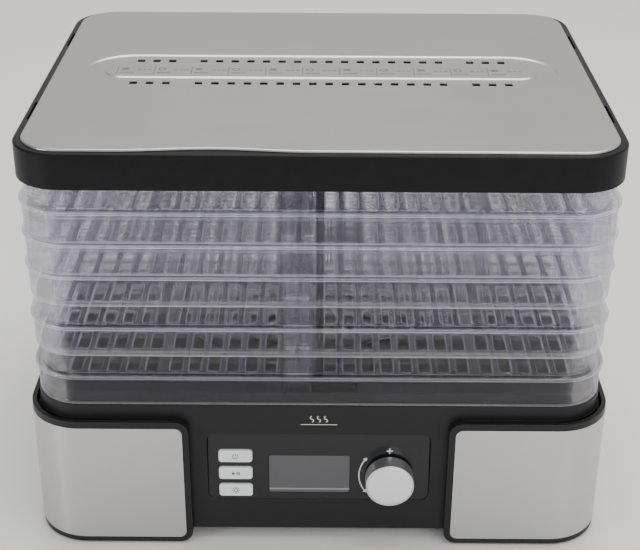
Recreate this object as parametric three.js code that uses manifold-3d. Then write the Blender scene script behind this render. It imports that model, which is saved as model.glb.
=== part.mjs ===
// Food dehydrator: a mains base with fan, heater and controls, five clear stacking trays and a lid.
// Millimetres. +X right, +Y towards the back, +Z up, Z = 0 on the table.

import * as THREE from "three";
import { mergeVertices } from "three/addons/utils/BufferGeometryUtils.js";
import Module from "manifold-3d";

const wasm = await Module();
wasm.setup();

// ---------------------------------------------------------------- driving dimensions

// Clearances between pieces.
const GAP = 0.3; // between fixed neighbours
const SLIDE_GAP = 0.35; // around buttons and turning shafts
const STACK_GAP = 0.2; // between stacked trays, and under the lid
const SEAT_GAP = 0.1; // between faces that are held against each other
const NOTCH_GAP = 0.6; // around the lowest tray's blocks in the plinth

// Working allowances of the cuts and joins.
const PAST = 1; // how far a cutting shape runs past the surface it opens
const SINK = 0.5; // how far a shape runs into the one it is joined to

// Tray outline, shared by the lid. Half sizes are used throughout.
const TRAY_WIDTH = 345;
const TRAY_DEPTH = 270.9;
const TRAY_CORNER = 28.4;

// Tray section, from the flange edge inwards and up.
const FLOOR_T = 2.2;
const FLANGE_LEDGE = 1.5;
const TRAY_WALL_T = 1.8;
const SKIRT_DROP = 20; // flange top down to the skirt's lower edge
const SKIRT_TO_WALL = 1.5; // room for the next skirt outside the upper wall
const WALL_OVERLAP = 1.3; // how far the skirt still covers the wall below in the high position
const TRAY_COUNT = 5;

// Stacking columns: a post above the floor and a block below it, off centre, so that a tray turned
// half round drops past the posts and sits low.
const HIGH_LIFT = 13; // how much higher a tray sits with its columns above the ones below
const POST_OFFSET = 12.8;
const POST_WIDTH = 17.4;
const POST_DEEP = 9;
const POST_SHELL = 1.6;
const BLOCK_INSET = 0.6; // the block stands in from the wall, to pass inside the tray below

// Floor slots, each the full depth of the floor: eight columns, a wider rib, then more columns out
// to the wall.
const SLOT_WIDTH = 7;
const SLOT_PITCH = 11.3;
const SLOT_FIRST = 6.6;
const SLOT_GROUP = 8;
const SLOT_GROUP_RIB = 3;
const SLOT_SIDE_MARGIN = 5.5;
const SLOT_END_MARGIN = 1.15;

// Lid.
const LID_RIM = 1.1; // rim above the height of a tray flange
const LID_WALL_T = 3;
const LID_LEDGE_W = 9;
const VENT_SLOT_MARGIN = 1; // slot in the frame, wider than the plate's vents on each side
const PLATE_INSET = 4.6;
const PLATE_T = 0.8;
const PLATE_EDGE_H = 1.4;
const PLATE_EDGE_T = 1.2;
const VENT_SIZE = 4.8;
const VENT_PITCH = 10.1;
const VENT_BLANK = 3; // the fourth column in from each end is left blank
const VENT_END_MARGIN = 12;
const BAND_SETBACK = 23; // band's ends from the tray outline
const BAND_END_WIDTH = 13.5;
const BAND_HALF_WIDTH = 30.7;
const ISLAND_HALF_WIDTH = 11.8;
const BAND_DEPTH = 1;
const BAND_Y = 2;
const LOUVRE_LENGTH = 28;
const LOUVRE_WIDTH = 1.6;
const LOUVRE_Y = 68;
const LOUVRE_DEPTH = 2;

// Base.
const FOOT_H = 1.2;
const FOOT_R = 8;
const HOUSING_BOTTOM = 7.9;
const DECK_Z = 99.1;
const HOUSING_LEDGE = 0.5; // deck showing outside the lowest skirt
const HOUSING_T = 3;
const COVER_T = 2.5;
const PLINTH_H = 7;
const PLINTH_GAP = 1.2;
const NOTCH_WALL = 1.5;
const NOTCH_FLOOR_T = 2;
const NOTCH_CLEAR = 0.5; // below the lowest tray's blocks
const CAP_STANDOFF = 5.5; // end cap face in front of the housing face
const CAP_WALL_T = 2.8;
const CAP_FLOOR_T = 2.4;
const CAP_TOP = 90.2;
const CAP_INNER_X = 78.3;
const CAP_CORNER = 8;
const TRENCH_DEPTH = 6.2;
const TRENCH_FLOOR_T = 2;
const STEEL_T = 0.8;
const STEEL_PROUD = 0.25;
const STEEL_SIDE_BORDER = 4;
const STEEL_TOP_BORDER = 4.5;
const STEEL_BOTTOM_BORDER = 3.7;
const STEEL_CORNER = 4.5;
const STEEL_RECESS_GAP = 0.15; // around the steel's edge

// Control panel, set in the front of the housing.
const PANEL_HALF_W = 67.8;
const PANEL_TOP = 78.4;
const PANEL_BOTTOM = 30.6;
const PANEL_CORNER = 5;
const PANEL_SINK = 2.5; // set back at the top edge, flush at the bottom edge
const PANEL_T = 3;
const PANEL_FLANGE = 3;
const BUTTON_X = -51;
const BUTTON_ZS = [61.7, 49.5, 37.3];
const BUTTON_NAMES = ["power", "start", "temperature"];
const BUTTON_W = 20.8;
const BUTTON_H = 8.8;
const BUTTON_CORNER = 2;
const BUTTON_PROUD = 1;
const BUTTON_TRAVEL = 0.8;
const BUTTON_PLAY = 0.1; // stem to plunger at the end of the travel
const WINDOW_X = -5.7;
const WINDOW_Z = 48.75;
const WINDOW_W = 49.8;
const WINDOW_H = 26.7;
const WINDOW_CORNER = 1;
const KNOB_X = 43.4;
const KNOB_Z = 48.2;
const KNOB_R = 14.75;
const KNOB_LENGTH = 10.3;
const KNOB_WALL = 2.2;
const KNOB_FRONT_T = 2.6;
const KNOB_FACE_T = 0.8;
const KNOB_RIM = 1.1; // bright rim left around the inlaid face
const KNOB_CHAMFER = 0.5;
const KNOB_HUB_WALL = 2.2;
const KNOB_GAP = 0.5; // behind the knob at its closest point to the sloping panel
const KNOB_FACE_GAP = 0.15; // around the inlaid face
const ENCODER_SHAFT_R = 3;
const ENCODER_SIZE = 12;
const ENCODER_DEEP = 6.5;
const ENCODER_NECK_R = 4.4;
const ENCODER_BACK_T = 1.5;
const SHAFT_END_GAP = 0.5; // behind the shaft, in the encoder and in the motor
const SWITCH_SIZE = 6;
const SWITCH_DEEP = 3.5;
const PLUNGER_R = 1.6;
const PLUNGER_PROUD = 0.7;
const STEM_SIZE = 3;
const RETAINER = 1.2; // lip behind the panel that holds a button in
const RETAINER_T = 1;
const LENS_T = 1.2;
const LCD_BORDER = 3;
const BOARD_SETBACK = 16.4; // housing face to the control board's front
const BOARD_T = 1.6;
const BOARD_MARGIN = 3;
const BOARD_POST_R = 2.6;

// Air path, centred on the base.
const FAN_R = 78;
const FAN_Z = 61;
const BLADE_COUNT = 7;
const BLADE_CHORD = 24;
const MOTOR_R = 29;
const MOTOR_LENGTH = 26;
const MOTOR_CHAMFER = 3;
const MOTOR_BACK_T = 4;
const MOTOR_SHAFT_R = 2.5;
const HUB_R = 12;
const HUB_HALF_H = 7;
const HUB_TOP_T = 2;
const HUB_LIFT = 6; // hub above the bracket
const BLADE_PITCH_DEG = 30;
const BLADE_T = 1.4;
const BRACKET_T = 1.5;
const BRACKET_HALF_X = 70;
const BRACKET_HALF_Y = 20;
const BRACKET_FOOT = 16;
const DUCT_R = 83;
const DUCT_T = 1;
const DUCT_LIP = 8;
const DUCT_LIP_T = 1.5;
const SLOT_RUN = 2; // how far the slots for the mica boards run past the duct wall
const MICA_T = 1;
const MICA_H = 14;
const MICA_REACH = 5; // board ends past the duct wall that carries them
const MICA_PLATE = 22; // half size of the small plate on top of the crossed boards
const HEATER_Z = 83;
const CHANNEL_GAP = 0.5;
const COIL_R_INNER = 34;
const COIL_R_OUTER = 70;
const COIL_TURNS = 3;
const COIL_WIRE_R = 2.2;
const COIL_STEPS = 12; // straight runs to each turn
const THERMOSTAT_R = 8;
const THERMOSTAT_H = 5;
const FUSE_R = 2;
const FUSE_LENGTH = 14;
const SENSOR_R = 2.5;
const SENSOR_LENGTH = 26;
const SENSOR_FLANGE_R = 4.5;
const SENSOR_FLANGE_T = 1.5;
const SENSOR_DROP = 1; // below the middle of the space between board tops and duct top
const GRILLE_R = 76;
const GRILLE_RIM = 4;
const GRILLE_TOP_T = 1.6;
const GRILLE_SLOTS = 20;
const GRILLE_SLOT_W = 5;
const GRILLE_HUB_R = 24;
const GRILLE_BAND = 5;

// Fasteners, supply and air intake.
const SCREW_R = 1.4;
const SCREW_HEAD_R = 3.1;
const SCREW_HEAD_H = 1.8;
const CAP_SCREW_LENGTH = 16;
const COVER_SCREW_LENGTH = 12;
const BRACKET_SCREW_LENGTH = 4;
const SCREW_EDGE = 0.5; // rounding of the head
const COUNTERBORE_GAP = 0.5; // around a sunk head
const PILOT_GAP = 0.15;
const BOSS_R = 4;
const BOSS_H = 32;
const BOSS_RIB_T = 2.4;
const CAP_BOSS_R = 5.5;
const COUNTERBORE_TOP = 4.2;
const COVER_SCREW_X = 100;
const COVER_SCREW_SETBACK = 9;
const CAP_SCREW_SETBACK = 14;
const CAP_SCREW_Y_SETBACK = 60;
const FOOT_SETBACK = 34;
const FOOT_STEM_R = 3;
const FOOT_HEAD_R = 4.2;
const FOOT_HEAD_H = 1.5;
const INTAKE_SLOTS = 9;
const INTAKE_PITCH = 12;
const INTAKE_W = 5;
const INTAKE_HALF_L = 46;
const GLAND_X = 45;
const GLAND_Z = 26;
const GLAND_R = 9;
const GLAND_NECK_R = 5.8;
const GLAND_BORE_R = 3.6;
const GLAND_FLANGE_T = 2.2;
const GLAND_NUT_T = 4;

// Parts on the bottom cover. Setbacks are from the housing's outer faces, offsets from a board's
// front left corner.
const POWER_BOARD = { setbackX: 25.5, setbackY: 26.5, w: 58, d: 78, z: 20 };
const RELAY = { x: 8, y: 10, w: 20, d: 16, h: 15 };
const TRANSFORMER = { x: 26, y: 44, w: 24, d: 24, h: 22 };
const CAPACITOR = { x: 16, y: 54, r: 6, h: 14 };
const TERMINAL = { x: 12, setbackY: 36.5, w: 30, d: 12, h: 14 };
const WIRE_ENTRY = { w: 4, z: 4, h: 4 };

// Fineness of curves: half the segments to a corner, and the segments to a full turn.
const CORNER_STEPS = 2;
const SMALL_CORNER_STEPS = 1;
const ROUND_STEPS = 24;
const SMALL_STEPS = 10;

// ---------------------------------------------------------------- derived sizes

const TRAY_HX = TRAY_WIDTH / 2;
const TRAY_HY = TRAY_DEPTH / 2;
const SKIRT_INSET = FLANGE_LEDGE;
const WALL_INSET = SKIRT_INSET + TRAY_WALL_T + SKIRT_TO_WALL;
const INSIDE_INSET = WALL_INSET + TRAY_WALL_T;
const LOW_PITCH = SKIRT_DROP + STACK_GAP;
const HIGH_PITCH = LOW_PITCH + HIGH_LIFT;
const WALL_H = HIGH_PITCH - SKIRT_DROP + WALL_OVERLAP;
const POST_H = LOW_PITCH - FLOOR_T - STACK_GAP;
const BLOCK_H = HIGH_PITCH - POST_H - STACK_GAP;

// Turned trays sit 180 degrees round from the others. From the base up: 5, 4, 3, 2, 1.
const TURNED = [false, false, false, true, false];
const TRAY_Z = [DECK_Z + LOW_PITCH];
for (let i = 1; i < TRAY_COUNT; i++) {
  TRAY_Z.push(TRAY_Z[i - 1] + (TURNED[i] === TURNED[i - 1] ? HIGH_PITCH : LOW_PITCH));
}
const LID_Z = TRAY_Z[TRAY_COUNT - 1] + HIGH_PITCH;
const PLATE_TOP = LID_Z + LID_RIM + PLATE_EDGE_H;
const BAND_HALF_LENGTH = TRAY_HX - BAND_SETBACK;
const ISLAND_HALF_LENGTH = BAND_HALF_LENGTH - BAND_END_WIDTH;
const VENT_COLUMNS = 2 * Math.floor((ISLAND_HALF_LENGTH - VENT_END_MARGIN) / VENT_PITCH);
const VENT_ROW_Y = (BAND_HALF_WIDTH + ISLAND_HALF_WIDTH) / 2;

const HOUSING_INSET = FLANGE_LEDGE - HOUSING_LEDGE;
const HOUSING_HX = TRAY_HX - HOUSING_INSET;
const HOUSING_HY = TRAY_HY - HOUSING_INSET;
const CAP_FACE_Y = HOUSING_HY + CAP_STANDOFF;
const PLINTH_INSET = SKIRT_INSET + TRAY_WALL_T + PLINTH_GAP;
const PLINTH_TOP = DECK_Z + PLINTH_H;
const PLINTH_UNDER = PLINTH_TOP - HOUSING_T;
const COVER_TOP = HOUSING_BOTTOM + COVER_T;
const CAP_FLOOR_TOP = FOOT_H + CAP_FLOOR_T;
const BOARD_RIGHT = HOUSING_HX - POWER_BOARD.setbackX;
const BOARD_LEFT = BOARD_RIGHT - POWER_BOARD.w;
const BOARD_FAR = HOUSING_HY - POWER_BOARD.setbackY;
const BOARD_NEAR = BOARD_FAR - POWER_BOARD.d;
const PANEL_BACK_Y = -HOUSING_HY + PANEL_SINK + PANEL_T;
const BOARD_FRONT_Y = -HOUSING_HY + BOARD_SETBACK;
const PLUNGER_Y = BOARD_FRONT_Y - SWITCH_DEEP - PLUNGER_PROUD;
const BRACKET_UNDER = FAN_Z - HUB_HALF_H - HUB_LIFT - BRACKET_T;
const MOTOR_TOP = BRACKET_UNDER - GAP;
const DUCT_BOTTOM = FAN_Z - BLADE_CHORD / 2;
const DUCT_TOP = PLINTH_UNDER - GAP;
const MICA_TOP = HEATER_Z + MICA_H / 2;
const NOTCH_FLOOR = TRAY_Z[0] - BLOCK_H - NOTCH_CLEAR;

// Set back of the sloping panel face behind the housing face, at height z.
const panelSetback = (z) => (PANEL_SINK * (z - PANEL_BOTTOM)) / (PANEL_TOP - PANEL_BOTTOM);
const KNOB_BACK_Y = -HOUSING_HY + panelSetback(KNOB_Z - KNOB_R) - KNOB_GAP;
const KNOB_FRONT_Y = KNOB_BACK_Y - KNOB_LENGTH;

// The origin is the middle of the whole box on plan, so the knob's reach moves everything back.
const SHIFT_Y = (-KNOB_FRONT_Y - (CAP_FACE_Y + STEEL_PROUD)) / 2;

// ---------------------------------------------------------------- shape tools

// A closed geometry as a solid that can be cut and joined.
function solid(geometry) {
  geometry.deleteAttribute("normal");
  geometry.deleteAttribute("uv");
  const merged = mergeVertices(geometry, 1e-4);
  const index = merged.index.array;
  const kept = [];
  for (let i = 0; i < index.length; i += 3) {
    const [a, b, c] = [index[i], index[i + 1], index[i + 2]];
    if (a !== b && b !== c && c !== a) kept.push(a, b, c);
  }
  const mesh = new wasm.Mesh({
    numProp: 3,
    vertProperties: Float32Array.from(merged.attributes.position.array),
    triVerts: Uint32Array.from(kept),
  });
  return new wasm.Manifold(mesh);
}

const join = (first, ...others) => others.reduce((sum, other) => sum.add(other), first);
const cut = (first, ...others) => others.reduce((rest, other) => rest.subtract(other), first);

function block(x0, x1, y0, y1, z0, z1) {
  const geometry = new THREE.BoxGeometry(x1 - x0, y1 - y0, z1 - z0);
  geometry.translate((x0 + x1) / 2, (y0 + y1) / 2, (z0 + z1) / 2);
  return solid(geometry);
}

// Rounded rectangle, centred on (cx, cy).
function roundedOutline(hx, hy, radius, cx = 0, cy = 0) {
  const r = Math.min(radius, hx, hy);
  const shape = new THREE.Shape();
  shape.absarc(cx + hx - r, cy + hy - r, r, 0, Math.PI / 2);
  shape.absarc(cx - hx + r, cy + hy - r, r, Math.PI / 2, Math.PI);
  shape.absarc(cx - hx + r, cy - hy + r, r, Math.PI, Math.PI * 1.5);
  shape.absarc(cx + hx - r, cy - hy + r, r, Math.PI * 1.5, Math.PI * 2);
  shape.closePath();
  return shape;
}

// An outline in plan raised from z0 to z1.
function upright(shape, z0, z1, steps = CORNER_STEPS) {
  const geometry = new THREE.ExtrudeGeometry(shape, {
    depth: z1 - z0,
    bevelEnabled: false,
    curveSegments: steps,
  });
  geometry.translate(0, 0, z0);
  return solid(geometry);
}

// An outline in X and Z carried from y0 back to y1.
function frontal(shape, y0, y1, steps = SMALL_CORNER_STEPS) {
  const geometry = new THREE.ExtrudeGeometry(shape, {
    depth: y1 - y0,
    bevelEnabled: false,
    curveSegments: steps,
  });
  geometry.rotateX(Math.PI / 2);
  geometry.translate(0, y1, 0);
  return solid(geometry);
}

// The tray outline moved in by inset, raised from z0 to z1.
function trayPrism(inset, z0, z1) {
  return upright(roundedOutline(TRAY_HX - inset, TRAY_HY - inset, TRAY_CORNER - inset), z0, z1);
}

function trayRing(insetOut, insetIn, z0, z1) {
  return cut(trayPrism(insetOut, z0, z1), trayPrism(insetIn, z0 - PAST, z1 + PAST));
}

// A turned body about +Z. The profile is [radius, height] pairs, anticlockwise from the bottom.
function turned(profile, steps = ROUND_STEPS) {
  const points = profile.map(([r, h]) => new THREE.Vector2(r, h));
  const geometry = new THREE.LatheGeometry(points, steps);
  geometry.rotateX(Math.PI / 2);
  return solid(geometry);
}

const rod = (r, z0, z1, steps = SMALL_STEPS) => turned([[0, z0], [r, z0], [r, z1], [0, z1]], steps);

// A turned body laid along Y, its profile running from y0 at the back towards the front.
const facingFront = (body, x, y, z) => body.rotate([90, 0, 0]).translate([x, y, z]);

// ---------------------------------------------------------------- the assembly

const dehydrator = new THREE.Group();
dehydrator.position.y = SHIFT_Y;

// Adds one named piece with a material of its own.
function piece(name, body, look, parent = dehydrator) {
  const { vertProperties, triVerts } = body.getMesh();
  const geometry = new THREE.BufferGeometry();
  geometry.setAttribute("position", new THREE.BufferAttribute(vertProperties, 3));
  geometry.setIndex(new THREE.BufferAttribute(triVerts, 1));
  geometry.computeVertexNormals();
  const mesh = new THREE.Mesh(geometry, new THREE.MeshStandardMaterial(look));
  mesh.name = name;
  parent.add(mesh);
  return mesh;
}

const BLACK_SATIN = { color: 0x232426, roughness: 0.45, metalness: 0 };
const BLACK_GLOSS = { color: 0x0b0b0d, roughness: 0.08, metalness: 0 };
const BRUSHED_STEEL = { color: 0xb4b2ae, roughness: 0.35, metalness: 1 };
const CLEAR_PLASTIC = { color: 0xd9d4ea, roughness: 0.08, metalness: 0, transparent: true, opacity: 0.35 };
const SILVER_PLASTIC = { color: 0xdadede, roughness: 0.35, metalness: 0.1 };
const SPUN_ALUMINIUM = { color: 0xc9cacc, roughness: 0.25, metalness: 1 };
const GREY_LENS = { color: 0x616063, roughness: 0.1, metalness: 0 };
const ZINC_STEEL = { color: 0xa8a9ab, roughness: 0.4, metalness: 1 };
const RUBBER = { color: 0x1a1a1a, roughness: 0.9, metalness: 0 };
const CIRCUIT_BOARD = { color: 0x1f5a36, roughness: 0.5, metalness: 0 };
const MICA = { color: 0xb8a67c, roughness: 0.6, metalness: 0 };
const HEATING_WIRE = { color: 0x7c7a78, roughness: 0.35, metalness: 1 };
const DARK_PLASTIC = { color: 0x2e2f31, roughness: 0.55, metalness: 0 };
const WHITE_PLASTIC = { color: 0xe4e3de, roughness: 0.4, metalness: 0 };

// ---------------------------------------------------------------- trays

// Centre lines of the floor slots on the right half, out to the wall.
function slotColumns() {
  const columns = [];
  const limit = TRAY_HX - INSIDE_INSET - SLOT_SIDE_MARGIN;
  for (let i = 0; ; i++) {
    const x = SLOT_FIRST + SLOT_PITCH * i + (i >= SLOT_GROUP ? SLOT_GROUP_RIB : 0);
    if (x + SLOT_WIDTH / 2 > limit) return columns;
    columns.push(x);
  }
}

// Where a slot whose outer edge is at x has to end, short of the rounded corner.
function slotEnd(x) {
  const straight = TRAY_HY - INSIDE_INSET - SLOT_END_MARGIN;
  const r = TRAY_CORNER - INSIDE_INSET;
  const past = x - (TRAY_HX - INSIDE_INSET - r);
  if (past <= 0) return straight;
  return Math.min(straight, TRAY_HY - INSIDE_INSET - r + Math.sqrt(r * r - past * past) - GAP);
}

function trayFloor() {
  const slots = [];
  for (const column of slotColumns()) {
    const end = slotEnd(column + SLOT_WIDTH / 2);
    for (const x of [-column, column]) {
      slots.push(block(x - SLOT_WIDTH / 2, x + SLOT_WIDTH / 2, -end, end, -FLOOR_T - PAST, PAST));
    }
  }
  return cut(trayPrism(0, -FLOOR_T, 0), ...slots);
}

// A shape made for the front wall, given its distance out, set on all four walls: two along X, two
// along Y.
function onFourWalls(make) {
  const onFront = make(TRAY_HY - INSIDE_INSET);
  const onSide = make(TRAY_HX - INSIDE_INSET);
  return [
    onFront.translate([-POST_OFFSET, 0, 0]),
    onFront.rotate([0, 0, 180]).translate([-POST_OFFSET, 0, 0]),
    onSide.rotate([0, 0, -90]).translate([0, -POST_OFFSET, 0]),
    onSide.rotate([0, 0, 90]).translate([0, -POST_OFFSET, 0]),
  ];
}

// Block that hangs below a floor and rests on the post of the tray under it.
const stackingBlock = (inside) => block(-POST_WIDTH / 2, POST_WIDTH / 2, -inside + BLOCK_INSET,
  -inside + POST_DEEP, -BLOCK_H, 0);

// Post that stands on a floor, against the wall.
const stackingPost = (inside) => block(-POST_WIDTH / 2, POST_WIDTH / 2, -inside - SINK,
  -inside + POST_DEEP, -FLOOR_T, POST_H);

// Hollow of a column: one space in the block, and two in the post with a rib between them.
function columnHollow(inside, postHeight) {
  const half = POST_WIDTH / 2 - POST_SHELL;
  const [y0, y1] = [-inside + BLOCK_INSET + POST_SHELL, -inside + POST_DEEP - POST_SHELL];
  const inBlock = block(-half, half, y0, y1, -BLOCK_H - PAST, -FLOOR_T);
  if (postHeight === 0) return inBlock;
  const cell = (x0, x1) => block(x0, x1, y0, y1, -FLOOR_T - PAST, postHeight - POST_SHELL);
  return join(inBlock, cell(-half, -POST_SHELL / 2), cell(POST_SHELL / 2, half));
}

// One tray with its flange top at z = 0.
function tray() {
  const skirt = trayRing(SKIRT_INSET, SKIRT_INSET + TRAY_WALL_T, -SKIRT_DROP, -FLOOR_T / 2);
  const wall = trayRing(WALL_INSET, INSIDE_INSET, -FLOOR_T / 2, WALL_H);
  const body = join(trayFloor(), skirt, wall, ...onFourWalls(stackingBlock), ...onFourWalls(stackingPost));
  return cut(body, ...onFourWalls((inside) => columnHollow(inside, POST_H)));
}

function addTrays() {
  const body = tray();
  TRAY_Z.forEach((z, i) => {
    const place = new THREE.Group();
    place.position.z = z;
    place.rotation.z = TURNED[i] ? Math.PI : 0;
    dehydrator.add(place);
    piece(`tray_${TRAY_COUNT - i}`, body, CLEAR_PLASTIC, place);
  });
}

// ---------------------------------------------------------------- lid

// Centres of one row of square vents, with a blank near each end.
function ventColumns() {
  const xs = [];
  for (let i = 0; i < VENT_COLUMNS; i++) {
    if (i === VENT_BLANK || i === VENT_COLUMNS - 1 - VENT_BLANK) continue;
    xs.push((i - (VENT_COLUMNS - 1) / 2) * VENT_PITCH);
  }
  return xs;
}

// Black moulded frame: skirt, flat deck with two air slots, raised ledge for the steel plate.
function lidFrame() {
  const rimTop = LID_Z + LID_RIM;
  const skirt = trayRing(0, LID_WALL_T, LID_Z - SKIRT_DROP, rimTop);
  const ledge = trayRing(SINK, LID_LEDGE_W, LID_Z - FLOOR_T, rimTop);
  const deck = trayPrism(SINK, LID_Z - FLOOR_T, LID_Z);
  const seat = trayPrism(PLATE_INSET - GAP, PLATE_TOP - PLATE_EDGE_H - SEAT_GAP, rimTop + PAST);
  const slots = [-1, 1].map((row) => {
    const halfLength = (VENT_COLUMNS / 2) * VENT_PITCH;
    const y = BAND_Y + row * VENT_ROW_Y;
    const halfWidth = VENT_SIZE / 2 + VENT_SLOT_MARGIN;
    return block(-halfLength, halfLength, y - halfWidth, y + halfWidth, LID_Z - FLOOR_T - PAST, LID_Z + PAST);
  });
  const louvres = [];
  for (const side of [-1, 1]) {
    for (const y of [-LOUVRE_Y, LOUVRE_Y]) {
      const x = side * (TRAY_HX - PLATE_INSET + GAP + LOUVRE_WIDTH / 2);
      louvres.push(block(x - LOUVRE_WIDTH / 2, x + LOUVRE_WIDTH / 2,
        y - LOUVRE_LENGTH / 2, y + LOUVRE_LENGTH / 2, rimTop - LOUVRE_DEPTH, rimTop + PAST));
    }
  }
  const raised = (shapes) => shapes.map((shape) => shape.translate([0, 0, LID_Z]));
  const blocks = raised(onFourWalls(stackingBlock));
  const hollows = raised(onFourWalls((inside) => columnHollow(inside, 0)));
  return cut(join(skirt, ledge, deck, ...blocks), seat, ...slots, ...louvres, ...hollows);
}

// Pressed steel plate: turned-down edge, sunk racetrack band with a raised island, square vents.
function lidPlate() {
  const top = PLATE_TOP;
  const sheet = trayPrism(PLATE_INSET, top - PLATE_T, top);
  const edge = trayRing(PLATE_INSET, PLATE_INSET + PLATE_EDGE_T, top - PLATE_EDGE_H, top);
  const race = (hx, hy, z0, z1) => upright(roundedOutline(hx, hy, hy, 0, BAND_Y), z0, z1);
  const low = top - BAND_DEPTH;
  const band = cut(race(BAND_HALF_LENGTH + PLATE_T, BAND_HALF_WIDTH + PLATE_T, low - PLATE_T, top - SEAT_GAP),
    race(ISLAND_HALF_LENGTH - PLATE_T, ISLAND_HALF_WIDTH - PLATE_T, low - PLATE_T - PAST, top));
  const hollow = cut(race(BAND_HALF_LENGTH, BAND_HALF_WIDTH, low, top + PAST),
    race(ISLAND_HALF_LENGTH, ISLAND_HALF_WIDTH, low - PAST, top + PAST * 2));
  const vents = [];
  for (const row of [-1, 1]) {
    for (const x of ventColumns()) {
      const y = BAND_Y + row * VENT_ROW_Y;
      const half = VENT_SIZE / 2;
      vents.push(block(x - half, x + half, y - half, y + half, low - PLATE_T - PAST, top + PAST));
    }
  }
  return cut(join(sheet, edge, band), hollow, ...vents);
}

// ---------------------------------------------------------------- base housing

const housingPrism = (grow, z0, z1) => trayPrism(HOUSING_INSET - grow, z0, z1);

const corners = (x, y) => [[-x, -y], [x, -y], [-x, y], [x, y]];
const FEET = corners(HOUSING_HX - FOOT_SETBACK, HOUSING_HY - FOOT_SETBACK);
const CAP_SCREWS = corners(HOUSING_HX - CAP_SCREW_SETBACK, HOUSING_HY - CAP_SCREW_Y_SETBACK);
const COVER_SCREWS = corners(COVER_SCREW_X, HOUSING_HY - COVER_SCREW_SETBACK);
const BRACKET_SCREWS = [-1, 1].map((side) => [side * (BRACKET_HALF_X + BRACKET_FOOT / 2), 0]);

// Upright rods of one size at a list of places.
function rodsAt(places, r, z0, z1, steps = 8) {
  return places.map(([x, y]) => rod(r, z0, z1, steps).translate([x, y, 0]));
}

// Screw bosses, each tied by a rib to the wall beside it.
function bosses() {
  const z0 = COVER_TOP + GAP;
  const parts = rodsAt([...CAP_SCREWS, ...COVER_SCREWS], BOSS_R, z0, z0 + BOSS_H);
  const ribHalf = BOSS_RIB_T / 2;
  for (const [x, y] of CAP_SCREWS) {
    const wall = Math.sign(x) * (HOUSING_HX - HOUSING_T / 2);
    parts.push(block(Math.min(x, wall), Math.max(x, wall), y - ribHalf, y + ribHalf, z0, z0 + BOSS_H));
  }
  for (const [x, y] of COVER_SCREWS) {
    const wall = Math.sign(y) * (HOUSING_HY - HOUSING_T / 2);
    parts.push(block(x - ribHalf, x + ribHalf, Math.min(y, wall), Math.max(y, wall), z0, z0 + BOSS_H));
  }
  return parts;
}

// Boxes at the middle of each side, where the lowest tray's blocks reach down into the plinth.
function plinthNotches(grow, z0, z1) {
  const half = POST_OFFSET + POST_WIDTH / 2 + NOTCH_GAP + grow;
  const edgeX = TRAY_HX - PLINTH_INSET;
  const edgeY = TRAY_HY - PLINTH_INSET;
  const inX = TRAY_HX - INSIDE_INSET - POST_DEEP - NOTCH_GAP - grow;
  const inY = TRAY_HY - INSIDE_INSET - POST_DEEP - NOTCH_GAP - grow;
  const out = grow > 0 ? 0 : PAST;
  return [
    block(-half, half, -edgeY - out, -inY, z0, z1),
    block(-half, half, inY, edgeY + out, z0, z1),
    block(-edgeX - out, -inX, -half, half, z0, z1),
    block(inX, edgeX + out, -half, half, z0, z1),
  ];
}

const PANEL_MID_Z = (PANEL_TOP + PANEL_BOTTOM) / 2;
const PANEL_HALF_H = (PANEL_TOP - PANEL_BOTTOM) / 2;

// The control panel's outline grown by margin, as a solid from y0 to y1.
function panelPrism(margin, y0, y1) {
  const outline = roundedOutline(PANEL_HALF_W + margin, PANEL_HALF_H + margin, PANEL_CORNER + margin,
    0, PANEL_MID_Z);
  return frontal(outline, y0, y1);
}

// Black moulded base: walls, deck with the ledge for the lowest skirt, raised plinth, screw bosses.
function baseHousing() {
  const walls = housingPrism(0, HOUSING_BOTTOM, DECK_Z);
  const plinth = trayPrism(PLINTH_INSET, DECK_Z - HOUSING_T, PLINTH_TOP);
  const hollow = housingPrism(-HOUSING_T, HOUSING_BOTTOM - PAST, DECK_Z - HOUSING_T);
  const plinthHollow = trayPrism(PLINTH_INSET + HOUSING_T, DECK_Z - HOUSING_T - PAST, PLINTH_UNDER);
  const shell = cut(join(walls, plinth), hollow, plinthHollow);
  const pads = plinthNotches(NOTCH_WALL, NOTCH_FLOOR - NOTCH_FLOOR_T, PLINTH_UNDER + SINK);
  const opening = panelPrism(GAP, -HOUSING_HY - PAST, -HOUSING_HY + HOUSING_T + PAST);
  const outlet = rod(GRILLE_R, PLINTH_UNDER - PAST, PLINTH_TOP + PAST, ROUND_STEPS);
  const glandRod = rod(GLAND_NECK_R + GAP, -PAST, HOUSING_T + PAST);
  const glandHole = facingFront(glandRod, GLAND_X, HOUSING_HY, GLAND_Z);
  const pilots = rodsAt([...CAP_SCREWS, ...COVER_SCREWS], SCREW_R + PILOT_GAP,
    COVER_TOP, HOUSING_BOTTOM + CAP_SCREW_LENGTH);
  return cut(join(shell, ...pads, ...bosses()), ...plinthNotches(0, NOTCH_FLOOR, PLINTH_TOP + PAST),
    opening, outlet, glandHole, ...pilots);
}

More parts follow.
